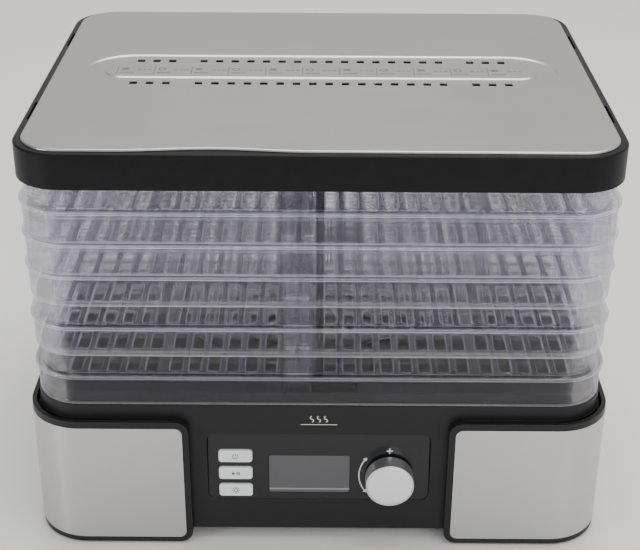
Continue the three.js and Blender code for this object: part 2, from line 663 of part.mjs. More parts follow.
// Flat cover inside the foot of the walls, with intake slots under the fan and posts for a board.
function bottomCover() {
  const plate = housingPrism(-HOUSING_T - GAP, HOUSING_BOTTOM, COVER_TOP);
  const holes = rodsAt([...CAP_SCREWS, ...COVER_SCREWS, ...BRACKET_SCREWS], SCREW_R + GAP,
    HOUSING_BOTTOM - PAST, COVER_TOP + PAST, 6);
  const slots = [];
  for (let i = 0; i < INTAKE_SLOTS; i++) {
    const x = (i - (INTAKE_SLOTS - 1) / 2) * INTAKE_PITCH;
    slots.push(block(x - INTAKE_W / 2, x + INTAKE_W / 2, -INTAKE_HALF_L, INTAKE_HALF_L,
      HOUSING_BOTTOM - PAST, COVER_TOP + PAST));
  }
  const inset = BOARD_MARGIN + BOARD_POST_R;
  const [x0, x1, y0, y1] = [BOARD_LEFT + inset, BOARD_RIGHT - inset, BOARD_NEAR + inset, BOARD_FAR - inset];
  const posts = rodsAt([[x0, y0], [x1, y0], [x0, y1], [x1, y1]], BOARD_POST_R,
    COVER_TOP - SINK, POWER_BOARD.z - SEAT_GAP);
  return cut(join(plate, ...posts), ...holes, ...slots);
}

// Side outline of an end cap, running right through the base from front to back.
function capProfile(side, innerX, z0, z1, radius) {
  const reach = TRAY_WIDTH / 2;
  const midX = side * (innerX + reach / 2);
  const outline = roundedOutline(reach / 2, (z1 - z0) / 2, radius, midX, (z0 + z1) / 2);
  return frontal(outline, -TRAY_DEPTH, TRAY_DEPTH, SMALL_CORNER_STEPS + 1);
}

const steelProfile = (side, margin) => capProfile(side, CAP_INNER_X + STEEL_SIDE_BORDER - margin,
  FOOT_H + STEEL_BOTTOM_BORDER - margin, CAP_TOP - STEEL_TOP_BORDER + margin, STEEL_CORNER + margin);

const CAP_INSET = HOUSING_INSET - CAP_STANDOFF;
const STEEL_INSET = CAP_INSET - STEEL_PROUD;

// End cap: a wall standing off the housing, the floor that carries it, and a ledge in the trench.
function endCap(side) {
  const wall = trayRing(CAP_INSET, CAP_INSET + CAP_WALL_T, FOOT_H, CAP_TOP);
  const floor = trayPrism(CAP_INSET, FOOT_H, CAP_FLOOR_TOP);
  const trenchTop = CAP_TOP - TRENCH_DEPTH;
  const trench = trayRing(CAP_INSET + SINK, HOUSING_INSET - GAP, trenchTop - TRENCH_FLOOR_T, trenchTop);
  const innerX = [side * CAP_INNER_X, side * (CAP_INNER_X + CAP_WALL_T)].sort((a, b) => a - b);
  const cheek = (y0, y1, top) => block(innerX[0], innerX[1], y0, y1, FOOT_H, top);
  const cheeks = [
    cheek(-CAP_FACE_Y + SINK, -HOUSING_HY - GAP, CAP_TOP),
    cheek(HOUSING_HY + GAP, CAP_FACE_Y - SINK, CAP_TOP),
    cheek(-CAP_FACE_Y + SINK, CAP_FACE_Y - SINK, HOUSING_BOTTOM - GAP),
  ];
  const onThisSide = ([x]) => Math.sign(x) === side;
  const screws = CAP_SCREWS.filter(onThisSide);
  const bossParts = rodsAt(screws, CAP_BOSS_R, CAP_FLOOR_TOP - SINK, HOUSING_BOTTOM - GAP);
  const profile = capProfile(side, CAP_INNER_X, FOOT_H, CAP_TOP, CAP_CORNER);
  const body = join(wall, floor, trench, ...cheeks, ...bossParts).intersect(profile);
  const recess = trayRing(STEEL_INSET - PAST, STEEL_INSET + STEEL_T + SEAT_GAP, 0, CAP_TOP + PAST)
    .intersect(steelProfile(side, STEEL_RECESS_GAP));
  return cut(body, recess, ...rodsAt(screws, SCREW_HEAD_R + COUNTERBORE_GAP, 0, COUNTERBORE_TOP),
    ...rodsAt(screws, SCREW_R + GAP, 0, HOUSING_BOTTOM, 6),
    ...rodsAt(FEET.filter(onThisSide), FOOT_STEM_R + GAP, 0, CAP_FLOOR_TOP + PAST));
}

const steelCover = (side) => trayRing(STEEL_INSET, STEEL_INSET + STEEL_T, FOOT_H, CAP_TOP)
  .intersect(steelProfile(side, 0));

// Push-in rubber foot: pad, stem through the cap floor, holding head.
function foot() {
  const seat = CAP_FLOOR_TOP + GAP;
  return turned([[0, 0], [FOOT_R, 0], [FOOT_R, FOOT_H], [FOOT_STEM_R, FOOT_H], [FOOT_STEM_R, seat],
    [FOOT_HEAD_R, seat], [FOOT_STEM_R, seat + FOOT_HEAD_H], [0, seat + FOOT_HEAD_H]], SMALL_STEPS);
}

// Screw with its head at the bottom and its tip up, head seat at height 0.
function screw(length) {
  return turned([[0, -SCREW_HEAD_H], [SCREW_HEAD_R - SCREW_EDGE, -SCREW_HEAD_H],
    [SCREW_HEAD_R, -SCREW_HEAD_H + SCREW_EDGE], [SCREW_HEAD_R, 0], [SCREW_R, 0],
    [SCREW_R, length], [0, length]], 8);
}

function addBaseShells() {
  piece("base_housing", baseHousing(), BLACK_SATIN);
  piece("bottom_cover", bottomCover(), DARK_PLASTIC);
  for (const [name, side] of [["left", -1], ["right", 1]]) {
    piece(`${name}_end_cap`, endCap(side), BLACK_SATIN);
    piece(`${name}_steel_cover`, steelCover(side), BRUSHED_STEEL);
  }
  const ends = ["front_left", "front_right", "rear_left", "rear_right"];
  FEET.forEach(([x, y], i) => piece(`foot_${ends[i]}`, foot().translate([x, y, 0]), RUBBER));
  CAP_SCREWS.forEach(([x, y], i) => {
    const body = screw(CAP_SCREW_LENGTH).translate([x, y, COUNTERBORE_TOP - SEAT_GAP]);
    piece(`cap_screw_${ends[i]}`, body, ZINC_STEEL);
  });
  COVER_SCREWS.forEach(([x, y], i) => {
    const body = screw(COVER_SCREW_LENGTH).translate([x, y, HOUSING_BOTTOM - SEAT_GAP]);
    piece(`cover_screw_${ends[i]}`, body, ZINC_STEEL);
  });
}

// ---------------------------------------------------------------- control panel

// A solid whose outline lies in Y and Z, carried from x0 to x1.
function sideways(outline, x0, x1) {
  const shape = new THREE.Shape(outline.map(([y, z]) => new THREE.Vector2(y, z)));
  const geometry = new THREE.ExtrudeGeometry(shape, { depth: x1 - x0, bevelEnabled: false });
  geometry.rotateX(Math.PI / 2);
  geometry.rotateZ(Math.PI / 2);
  geometry.translate(x0, 0, 0);
  return solid(geometry);
}

// Everything in front of the sloping panel face.
function aheadOfFace() {
  const face = -HOUSING_HY;
  const out = PANEL_FLANGE + PAST;
  return sideways([[face - out, PANEL_BOTTOM - out], [face, PANEL_BOTTOM - out], [face, PANEL_BOTTOM],
    [face + PANEL_SINK, PANEL_TOP], [face + PANEL_SINK, PANEL_TOP + out], [face - out, PANEL_TOP + out]],
    -PANEL_HALF_W - out, PANEL_HALF_W + out);
}

const buttonOutline = (grow, z) => roundedOutline(BUTTON_W / 2 + grow, BUTTON_H / 2 + grow,
  BUTTON_CORNER + grow, BUTTON_X, z);
const windowOutline = (grow) => roundedOutline(WINDOW_W / 2 + grow, WINDOW_H / 2 + grow,
  WINDOW_CORNER + grow, WINDOW_X, WINDOW_Z);
const BOARD_X = PANEL_HALF_W - BOARD_MARGIN;
const BOARD_Z = [PANEL_BOTTOM - BOARD_MARGIN, PANEL_TOP - BOARD_MARGIN];

// Gloss black fascia, held by a flange behind the housing wall, with posts for the control board.
function controlPanel() {
  const front = -HOUSING_HY - PAST;
  const slab = panelPrism(0, front, PANEL_BACK_Y);
  const flange = panelPrism(PANEL_FLANGE, -HOUSING_HY + HOUSING_T + GAP, PANEL_BACK_Y);
  const postPlaces = [];
  for (const x of [-BOARD_X + BOARD_POST_R, BOARD_X - BOARD_POST_R]) {
    for (const z of [BOARD_Z[0] + BOARD_POST_R, BOARD_Z[1] - BOARD_POST_R]) {
      postPlaces.push([x, z]);
    }
  }
  const posts = postPlaces.map(([x, z]) => facingFront(
    rod(BOARD_POST_R, SEAT_GAP, BOARD_FRONT_Y - PANEL_BACK_Y + SINK, 8), x, BOARD_FRONT_Y, z));
  const back = PANEL_BACK_Y + PAST;
  const holes = BUTTON_ZS.map((z) => frontal(buttonOutline(SLIDE_GAP, z), front, back));
  const window = frontal(windowOutline(0), front, back);
  const neck = facingFront(rod(ENCODER_NECK_R + GAP, -PAST, back - front), KNOB_X, back, KNOB_Z);
  return cut(join(slab, flange, ...posts), aheadOfFace(), ...holes, window, neck);
}

// Grey display lens, its front in the panel's sloping face.
function displayWindow() {
  const back = -HOUSING_HY + PANEL_SINK + LENS_T;
  return cut(frontal(windowOutline(-GAP / 2), -HOUSING_HY - PAST, back), aheadOfFace());
}

// Button: rounded cap, retaining lip behind the panel, stem towards its switch.
function button(z) {
  const front = -HOUSING_HY + panelSetback(z) - BUTTON_PROUD;
  const lipFront = PANEL_BACK_Y + GAP;
  const cap = frontal(buttonOutline(0, z), front, lipFront + RETAINER_T);
  const lip = frontal(buttonOutline(RETAINER, z), lipFront, lipFront + RETAINER_T);
  const half = STEM_SIZE / 2;
  const stem = block(BUTTON_X - half, BUTTON_X + half, lipFront + RETAINER_T / 2,
    PLUNGER_Y - BUTTON_TRAVEL - BUTTON_PLAY, z - half, z + half);
  return join(cap, lip, stem);
}

function buttonSwitch(z) {
  const half = SWITCH_SIZE / 2;
  const can = block(BUTTON_X - half, BUTTON_X + half, BOARD_FRONT_Y - SWITCH_DEEP,
    BOARD_FRONT_Y - SEAT_GAP, z - half, z + half);
  const plunger = rod(PLUNGER_R, SWITCH_DEEP - SINK, SWITCH_DEEP + PLUNGER_PROUD, 8);
  return join(can, facingFront(plunger, BUTTON_X, BOARD_FRONT_Y, z));
}

// Encoder: square body on the board and a round neck with the shaft's bearing.
function rotaryEncoder() {
  const half = ENCODER_SIZE / 2;
  const body = block(KNOB_X - half, KNOB_X + half, BOARD_FRONT_Y - ENCODER_DEEP,
    BOARD_FRONT_Y - SEAT_GAP, KNOB_Z - half, KNOB_Z + half);
  const neckEnd = BOARD_FRONT_Y - PANEL_BACK_Y - GAP;
  const neck = rod(ENCODER_NECK_R, ENCODER_DEEP - SINK, neckEnd);
  const bore = rod(ENCODER_SHAFT_R + SLIDE_GAP, ENCODER_BACK_T, neckEnd + PAST);
  const placed = (shape) => facingFront(shape, KNOB_X, BOARD_FRONT_Y, KNOB_Z);
  return cut(join(body, placed(neck)), placed(bore));
}

function encoderShaft() {
  const tip = BOARD_FRONT_Y - KNOB_FRONT_Y - KNOB_FRONT_T - GAP;
  const tail = ENCODER_BACK_T + SHAFT_END_GAP;
  return facingFront(rod(ENCODER_SHAFT_R, tail, tip), KNOB_X, BOARD_FRONT_Y, KNOB_Z);
}

// Knob: hollow from behind, central hub on the shaft, shallow recess for the face disc.
function knob() {
  const bore = ENCODER_SHAFT_R + GAP / 2;
  const hub = bore + KNOB_HUB_WALL;
  const inside = KNOB_R - KNOB_WALL;
  const depth = KNOB_LENGTH - KNOB_FRONT_T;
  const recess = KNOB_R - KNOB_RIM;
  const recessFloor = KNOB_LENGTH - KNOB_FACE_T - SEAT_GAP;
  return facingFront(turned([[0, depth], [bore, depth], [bore, 0], [hub, 0], [hub, depth], [inside, depth],
    [inside, 0], [KNOB_R, 0], [KNOB_R, KNOB_LENGTH - KNOB_CHAMFER], [KNOB_R - KNOB_CHAMFER, KNOB_LENGTH],
    [recess, KNOB_LENGTH], [recess, recessFloor], [0, recessFloor]]), KNOB_X, KNOB_BACK_Y, KNOB_Z);
}

function knobFace() {
  const disc = rod(KNOB_R - KNOB_RIM - KNOB_FACE_GAP, KNOB_LENGTH - KNOB_FACE_T, KNOB_LENGTH, ROUND_STEPS);
  return facingFront(disc, KNOB_X, KNOB_BACK_Y, KNOB_Z);
}

function addControls() {
  piece("control_panel", controlPanel(), BLACK_GLOSS);
  piece("display_window", displayWindow(), GREY_LENS);
  const lcd = windowOutline(LCD_BORDER);
  piece("lcd_module", frontal(lcd, PANEL_BACK_Y + GAP, BOARD_FRONT_Y - SEAT_GAP), DARK_PLASTIC);
  const board = block(-BOARD_X, BOARD_X, BOARD_FRONT_Y, BOARD_FRONT_Y + BOARD_T, BOARD_Z[0], BOARD_Z[1]);
  piece("control_board", board, CIRCUIT_BOARD);
  BUTTON_NAMES.forEach((name, i) => {
    piece(`${name}_button`, button(BUTTON_ZS[i]), SILVER_PLASTIC);
    piece(`${name}_switch`, buttonSwitch(BUTTON_ZS[i]), DARK_PLASTIC);
  });
  piece("rotary_encoder", rotaryEncoder(), ZINC_STEEL);
  piece("encoder_shaft", encoderShaft(), SPUN_ALUMINIUM);
  piece("knob", knob(), SPUN_ALUMINIUM);
  piece("knob_face", knobFace(), SPUN_ALUMINIUM);
}

// ---------------------------------------------------------------- fan, heater and supply

// Pressed steel bridge over the motor, its two feet on the bottom cover.
function motorBracket() {
  const top = BRACKET_UNDER + BRACKET_T;
  const footZ = COVER_TOP + GAP;
  const strip = (x0, x1, z0, z1) => block(x0, x1, -BRACKET_HALF_Y, BRACKET_HALF_Y, z0, z1);
  const [leg, toe] = [BRACKET_HALF_X - BRACKET_T, BRACKET_HALF_X + BRACKET_FOOT];
  const bridge = strip(-BRACKET_HALF_X, BRACKET_HALF_X, BRACKET_UNDER, top);
  const legs = [strip(-BRACKET_HALF_X, -leg, footZ, top), strip(leg, BRACKET_HALF_X, footZ, top),
    strip(-toe, -leg, footZ, footZ + BRACKET_T), strip(leg, toe, footZ, footZ + BRACKET_T)];
  const shaftHole = rod(HUB_R, BRACKET_UNDER - PAST, top + PAST);
  const holes = rodsAt(BRACKET_SCREWS, SCREW_R + GAP, footZ - PAST, footZ + BRACKET_T + PAST, 6);
  return cut(join(bridge, ...legs), shaftHole, ...holes);
}

function fanMotor() {
  const bottom = MOTOR_TOP - MOTOR_LENGTH;
  const bore = MOTOR_SHAFT_R + SLIDE_GAP;
  const boreEnd = bottom + MOTOR_BACK_T;
  return turned([[0, bottom], [MOTOR_R - MOTOR_CHAMFER, bottom], [MOTOR_R, bottom + MOTOR_CHAMFER],
    [MOTOR_R, MOTOR_TOP], [bore, MOTOR_TOP], [bore, boreEnd], [0, boreEnd]]);
}

// Shaft from the motor up into the hub.
function fanShaft() {
  return rod(MOTOR_SHAFT_R, MOTOR_TOP - MOTOR_LENGTH + MOTOR_BACK_T + SHAFT_END_GAP,
    FAN_Z + HUB_HALF_H - HUB_TOP_T - GAP);
}

// Hub with pitched blades, bored from below for the motor shaft.
function fanImpeller() {
  const hub = rod(HUB_R, FAN_Z - HUB_HALF_H, FAN_Z + HUB_HALF_H, ROUND_STEPS);
  const blades = [];
  for (let i = 0; i < BLADE_COUNT; i++) {
    const blade = block(HUB_R / 2, FAN_R, -BLADE_CHORD / 2, BLADE_CHORD / 2, -BLADE_T / 2, BLADE_T / 2);
    blades.push(blade.rotate([BLADE_PITCH_DEG, 0, 0]).translate([0, 0, FAN_Z])
      .rotate([0, 0, (360 / BLADE_COUNT) * i]));
  }
  const round = rod(FAN_R, FAN_Z - BLADE_CHORD, FAN_Z + BLADE_CHORD, ROUND_STEPS);
  const bore = rod(MOTOR_SHAFT_R + GAP / 2, FAN_Z - BLADE_CHORD, FAN_Z + HUB_HALF_H - HUB_TOP_T);
  return cut(join(hub, ...blades).intersect(round), bore);
}

// The heating coil's route: a flat spiral from the middle outwards.
class CoilRoute extends THREE.Curve {
  getPoint(t, target = new THREE.Vector3()) {
    const r = COIL_R_INNER + (COIL_R_OUTER - COIL_R_INNER) * t;
    const angle = Math.PI / 4 + t * COIL_TURNS * Math.PI * 2;
    return target.set(r * Math.cos(angle), r * Math.sin(angle), HEATER_Z);
  }
}

function coilTube(radius) {
  const section = new THREE.Shape();
  section.absarc(0, 0, radius, 0, Math.PI * 2);
  return solid(new THREE.ExtrudeGeometry(section, {
    extrudePath: new CoilRoute(),
    steps: COIL_TURNS * COIL_STEPS,
    curveSegments: 3,
  }));
}

// Crossed mica boards that carry the coil, joined by a small plate for the safety parts.
function heaterFrame() {
  const reach = DUCT_R + DUCT_T + MICA_REACH;
  const [z0, z1] = [HEATER_Z - MICA_H / 2, MICA_TOP];
  const along = block(-reach, reach, -MICA_T / 2, MICA_T / 2, z0, z1);
  const across = block(-MICA_T / 2, MICA_T / 2, -reach, reach, z0, z1);
  const plate = block(-MICA_PLATE, MICA_PLATE, -MICA_PLATE, MICA_PLATE, z1 - MICA_T / 2, z1 + MICA_T / 2);
  return cut(join(along, across, plate), coilTube(COIL_WIRE_R + CHANNEL_GAP));
}

// Steel duct between fan and grille, slotted for the boards' ends, holed for the sensor.
function airDuct() {
  const outer = DUCT_R + DUCT_T;
  const tube = turned([[DUCT_R, DUCT_BOTTOM], [outer, DUCT_BOTTOM], [outer, DUCT_TOP - DUCT_LIP_T],
    [outer + DUCT_LIP, DUCT_TOP - DUCT_LIP_T], [outer + DUCT_LIP, DUCT_TOP], [DUCT_R, DUCT_TOP],
    [DUCT_R, DUCT_BOTTOM]]);
  const half = MICA_T / 2 + GAP;
  const reach = outer + SLOT_RUN;
  const [z0, z1] = [HEATER_Z - MICA_H / 2 - GAP, MICA_TOP + GAP];
  return cut(tube, block(-reach, reach, -half, half, z0, z1), block(-half, half, -reach, reach, z0, z1),
    sensorRod(SENSOR_R + GAP, 0));
}

// A rod through the duct wall, halfway between two boards, below the duct's lip.
function sensorRod(radius, flange) {
  const inner = DUCT_R - SENSOR_LENGTH / 2;
  const stem = rod(radius, inner, inner + SENSOR_LENGTH);
  const seat = DUCT_R + DUCT_T + GAP;
  const body = flange > 0 ? join(stem, rod(flange, seat, seat + SENSOR_FLANGE_T)) : stem;
  const height = (MICA_TOP + DUCT_TOP) / 2 - SENSOR_DROP;
  return body.rotate([0, 90, 0]).translate([0, 0, height]).rotate([0, 0, 45]);
}

// Round outlet grille: rim on the plinth, body through it, radial slots.
function outletGrille() {
  const top = PLINTH_TOP + GAP + GRILLE_TOP_T;
  const rim = rod(GRILLE_R + GRILLE_RIM, PLINTH_TOP + GAP, top, ROUND_STEPS);
  const body = rod(GRILLE_R - GAP * 2, PLINTH_UNDER, top - SINK, ROUND_STEPS);
  const slot = block(GRILLE_HUB_R, GRILLE_R - GRILLE_BAND, -GRILLE_SLOT_W / 2, GRILLE_SLOT_W / 2,
    PLINTH_UNDER - PAST, top + PAST);
  const slots = [];
  for (let i = 0; i < GRILLE_SLOTS; i++) slots.push(slot.rotate([0, 0, (360 / GRILLE_SLOTS) * i]));
  return cut(join(rim, body), ...slots);
}

// Power board with its relay, capacitor and transformer.
function powerBoard() {
  const top = POWER_BOARD.z + BOARD_T;
  const board = block(BOARD_LEFT, BOARD_RIGHT, BOARD_NEAR, BOARD_FAR, POWER_BOARD.z, top);
  const boxAt = ({ x, y, w, d, h }) => block(BOARD_LEFT + x, BOARD_LEFT + x + w,
    BOARD_NEAR + y, BOARD_NEAR + y + d, top - SINK, top + h);
  const capacitor = rod(CAPACITOR.r, top - SINK, top + CAPACITOR.h)
    .translate([BOARD_LEFT + CAPACITOR.x, BOARD_NEAR + CAPACITOR.y, 0]);
  return join(board, boxAt(RELAY), boxAt(TRANSFORMER), capacitor);
}

// Three-way terminal for the supply leads, with a wire entry in each way.
function mainsTerminal() {
  const { x, setbackY, w, d, h } = TERMINAL;
  const y = HOUSING_HY - setbackY;
  const z0 = COVER_TOP + SEAT_GAP;
  const entryZ = z0 + WIRE_ENTRY.z;
  const entries = [-1, 0, 1].map((i) => {
    const mid = x + (i * w) / 3;
    return block(mid - WIRE_ENTRY.w / 2, mid + WIRE_ENTRY.w / 2, y - d, y + d, entryZ, entryZ + WIRE_ENTRY.h);
  });
  return cut(block(x - w / 2, x + w / 2, y - d / 2, y + d / 2, z0, z0 + h), ...entries);
}

// Supply cord bushing through the rear wall: inner nut, neck, outer flange, open bore.
function cableGland() {
  const neckEnd = GLAND_NUT_T + HOUSING_T + GAP * 2;
  const end = neckEnd + GLAND_FLANGE_T;
  return turned([[GLAND_BORE_R, 0], [GLAND_R, 0], [GLAND_R, GLAND_NUT_T], [GLAND_NECK_R, GLAND_NUT_T],
    [GLAND_NECK_R, neckEnd], [GLAND_R, neckEnd], [GLAND_R, end], [GLAND_BORE_R, end], [GLAND_BORE_R, 0]],
    SMALL_STEPS + 4)
    .rotate([-90, 0, 0])
    .translate([GLAND_X, HOUSING_HY - HOUSING_T - GAP - GLAND_NUT_T, GLAND_Z]);
}

function addWorks() {
  piece("motor_bracket", motorBracket(), ZINC_STEEL);
  piece("fan_motor", fanMotor(), ZINC_STEEL);
  piece("fan_shaft", fanShaft(), ZINC_STEEL);
  piece("fan_impeller", fanImpeller(), DARK_PLASTIC);
  piece("air_duct", airDuct(), ZINC_STEEL);
  piece("heater_frame", heaterFrame(), MICA);
  piece("heater_coil", coilTube(COIL_WIRE_R), HEATING_WIRE);
  const plateTop = MICA_TOP + MICA_T / 2 + SEAT_GAP;
  const thermostat = rod(THERMOSTAT_R, plateTop, plateTop + THERMOSTAT_H);
  piece("thermostat", thermostat.translate([MICA_PLATE / 2, MICA_PLATE / 2, 0]), WHITE_PLASTIC);
  const fuse = rod(FUSE_R, -FUSE_LENGTH / 2, FUSE_LENGTH / 2, 8).rotate([0, 90, 0]);
  const fuseAt = [-MICA_PLATE / 2, -MICA_PLATE / 2, plateTop + FUSE_R];
  piece("thermal_fuse", fuse.translate(fuseAt), WHITE_PLASTIC);
  piece("temperature_sensor", sensorRod(SENSOR_R, SENSOR_FLANGE_R), ZINC_STEEL);
  piece("outlet_grille", outletGrille(), BLACK_SATIN);
  piece("power_board", powerBoard(), CIRCUIT_BOARD);
  piece("mains_terminal", mainsTerminal(), WHITE_PLASTIC);
  piece("cable_gland", cableGland(), DARK_PLASTIC);
  BRACKET_SCREWS.forEach(([x, y], i) => {
    const seat = COVER_TOP + GAP + BRACKET_T + SEAT_GAP;
    const body = screw(BRACKET_SCREW_LENGTH).rotate([180, 0, 0]).translate([x, y, seat]);
    piece(`bracket_screw_${i === 0 ? "left" : "right"}`, body, ZINC_STEEL);
  });
}

// ---------------------------------------------------------------- the whole

addBaseShells();
addControls();
addWorks();
addTrays();
piece("lid_frame", lidFrame(), BLACK_SATIN);
piece("lid_plate", lidPlate(), BRUSHED_STEEL);

export default dehydrator;
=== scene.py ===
from math import cos, pi, radians, sin

import bmesh
import bpy
from mathutils import Matrix, Vector


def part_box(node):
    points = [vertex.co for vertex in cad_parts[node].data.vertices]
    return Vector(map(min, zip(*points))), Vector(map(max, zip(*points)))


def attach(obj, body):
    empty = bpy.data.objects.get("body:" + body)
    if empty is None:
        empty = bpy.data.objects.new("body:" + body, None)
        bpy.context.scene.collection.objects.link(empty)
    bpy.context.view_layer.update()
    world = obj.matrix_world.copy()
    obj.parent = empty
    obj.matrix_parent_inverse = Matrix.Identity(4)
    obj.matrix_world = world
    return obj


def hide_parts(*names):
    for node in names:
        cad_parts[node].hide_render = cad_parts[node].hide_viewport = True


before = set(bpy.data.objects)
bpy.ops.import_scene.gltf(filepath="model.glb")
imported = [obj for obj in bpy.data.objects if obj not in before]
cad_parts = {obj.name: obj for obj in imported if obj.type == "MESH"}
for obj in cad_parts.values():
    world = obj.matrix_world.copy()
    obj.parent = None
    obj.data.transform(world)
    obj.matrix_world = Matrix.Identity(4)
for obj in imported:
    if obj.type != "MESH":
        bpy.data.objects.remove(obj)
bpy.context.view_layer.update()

mm = 0.001

# ---------------------------------------------------------------- base housing
# The lower body is one black ABS moulding: walls, a deck that carries the lowest tray's skirt, and a
# raised plinth with the round air outlet. Its satin face is spark-eroded, with a fine even grain.

weld = 0.002 * mm


def at(x, y, z):
    """A place in the frame, unturned."""
    return Matrix.Translation((x, y, z))


def rounded_face(bm, half_x, half_y, radius, steps, place):
    """A flat rounded rectangle at a place, as one face."""
    made = bmesh.ops.create_grid(bm, x_segments=1, y_segments=1, size=1,
                                 matrix=Matrix.Diagonal((half_x, half_y, 1, 1)))
    most = 0.999
    turned = bmesh.ops.bevel(bm, geom=made["verts"], offset=min(radius, half_x * most, half_y * most),
                             offset_type="OFFSET", segments=steps, profile=0.5, affect="VERTICES",
                             material=-1)
    face = turned["verts"][0].link_faces[0]
    bmesh.ops.transform(bm, matrix=place, verts=face.verts)
    return face


def ring_of(bm, face):
    """The rim of a face, as loose edges ready for bridging."""
    edges = list(face.edges)
    bmesh.ops.delete(bm, geom=[face], context="FACES_ONLY")
    return edges


def rounded_ring(bm, *sizes_and_place):
    """The rim alone of a rounded rectangle."""
    return ring_of(bm, rounded_face(bm, *sizes_and_place))


def fill_between(bm, rings):
    """A flat sheet bounded by the first ring and pierced by the others."""
    edges = [edge for ring in rings for edge in ring]
    return bmesh.ops.triangle_fill(bm, use_beauty=True, use_dissolve=False, edges=edges)


def middle_of(ring):
    """The mean point of a ring of edges."""
    return sum((edge.verts[0].co + edge.verts[1].co for edge in ring), Vector()) / (2 * len(ring))


def loft(bm, rings):
    """Joins ring to ring: bridged where they stand apart, filled as a band where they are level."""
    for first, second in zip(rings, rings[1:]):
        if (middle_of(first) - middle_of(second)).length > 0.01 * mm:
            bmesh.ops.bridge_loops(bm, edges=first + second)
        else:
            fill_between(bm, [first, second])


def as_mesh(bm, name):
    """Writes a bmesh out as a mesh and lets it go."""
    mesh = bpy.data.meshes.new(name)
    bm.to_mesh(mesh)
    bm.free()
    return mesh


def into_scene(name, data):
    """A new object in the scene, which holds a mesh, a lamp or a camera."""
    made = bpy.data.objects.new(name, data)
    bpy.context.scene.collection.objects.link(made)
    return made


def add_piece(bm, name, material, body, nodes=(), crease=32, flats=True):
    """Turns a finished bmesh into a piece that rides on its body and stands for its CAD nodes."""
    bmesh.ops.remove_doubles(bm, verts=bm.verts, dist=weld)
    bmesh.ops.recalc_face_normals(bm, faces=bm.faces)
    mesh = as_mesh(bm, name)
    mesh.materials.append(material)
    mesh.shade_smooth()
    mesh.set_sharp_from_angle(angle=radians(crease))
    piece = into_scene(name, mesh)
    if flats:
        even = piece.modifiers.new("even_flats", "WEIGHTED_NORMAL")
        even.keep_sharp = True
    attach(piece, body)
    if nodes:
        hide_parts(*nodes)
    return piece


def shader_group(name, input_label, value, output_label):
    """A node group with one input and one output: its tree and the two sockets inside it."""
    tree = bpy.data.node_groups.new(name, "ShaderNodeTree")
    socket = tree.interface.new_socket(input_label, in_out="INPUT", socket_type="NodeSocketFloat")
    socket.default_value = value
    tree.interface.new_socket(output_label, in_out="OUTPUT", socket_type="NodeSocketFloat")
    inside, outside = tree.nodes.new("NodeGroupInput"), tree.nodes.new("NodeGroupOutput")
    return tree, inside.outputs[input_label], outside.inputs[output_label]


def maths(tree, operation, *values):
    """A sum on numbers or sockets."""
    node = tree.nodes.new("ShaderNodeMath")
    node.operation = operation
    for socket, value in zip(node.inputs, values):
        if isinstance(value, (int, float)):
            socket.default_value = value
        else:
            tree.links.new(value, socket)
    return node.outputs[0]


def times(tree, one, other):
    return maths(tree, "MULTIPLY", one, other)


def plus(tree, one, other):
    return maths(tree, "ADD", one, other)


def clamped(tree, value):
    node = tree.nodes.new("ShaderNodeClamp")
    tree.links.new(value, node.inputs["Value"])
    return node.outputs[0]


def object_place(tree):
    """Object coordinates, on which every pattern is laid out."""
    return tree.nodes.new("ShaderNodeTexCoord").outputs["Object"]


def noise(tree, vector, scale, detail=2.0, rough=0.5):
    """A noise mask. Its scale is a number or a socket."""
    node = tree.nodes.new("ShaderNodeTexNoise")
    node.inputs["Detail"].default_value = detail
    node.inputs["Roughness"].default_value = rough
    tree.links.new(vector, node.inputs["Vector"])
    if isinstance(scale, (int, float)):
        node.inputs["Scale"].default_value = scale
    else:
        tree.links.new(scale, node.inputs["Scale"])
    return node.outputs["Fac"]


def stretched(tree, vector, scale):
    """Object coordinates drawn out along the axes with a small scale."""
    node = tree.nodes.new("ShaderNodeMapping")
    node.inputs["Scale"].default_value = scale
    tree.links.new(vector, node.inputs["Vector"])
    return node.outputs[0]


# Handling marks: slow smudges, as a mask from 0 to 1.
marks_group, smudge_scale, smudge = shader_group("handling_marks", "Scale", 22.0, "Smudge")
marks_group.links.new(noise(marks_group, object_place(marks_group), smudge_scale, 4, 0.6), smudge)

# Spark-eroded grain of a mould face: a height for the bump.
grain_group, grain_scale, grain_height = shader_group("mould_grain", "Size", 1500.0, "Height")
grain_group.links.new(noise(grain_group, object_place(grain_group), grain_scale, 3), grain_height)

# Edge wear: lighter where a corner has been rubbed, from the surface's own sharpness.
wear_group, wear_amount, wear_mask = shader_group("edge_wear", "Amount", 1.0, "Mask")
sharp = wear_group.nodes.new("ShaderNodeNewGeometry").outputs["Pointiness"]
raised = times(wear_group, maths(wear_group, "SUBTRACT", sharp, 0.52), 8)
broken = noise(wear_group, object_place(wear_group), 160, 3, 0.6)
rubbed = times(wear_group, times(wear_group, raised, broken), wear_amount)
wear_group.links.new(clamped(wear_group, rubbed), wear_mask)


def new_material(name, metallic=0.0, ior=1.5):
    """An empty Principled material: the material, its tree and its shader."""
    material = bpy.data.materials.new(name)
    material.use_nodes = True
    tree = material.node_tree
    shader = tree.nodes["Principled BSDF"]
    shader.inputs["Metallic"].default_value = metallic
    shader.inputs["IOR"].default_value = ior
    return material, tree, shader


def use_group(tree, group, value=None):
    """Places a group in a material, with its own value, and gives back its mask or height."""
    node = tree.nodes.new("ShaderNodeGroup")
    node.node_tree = group
    if value is not None:
        node.inputs[0].default_value = value
    return node.outputs[0]


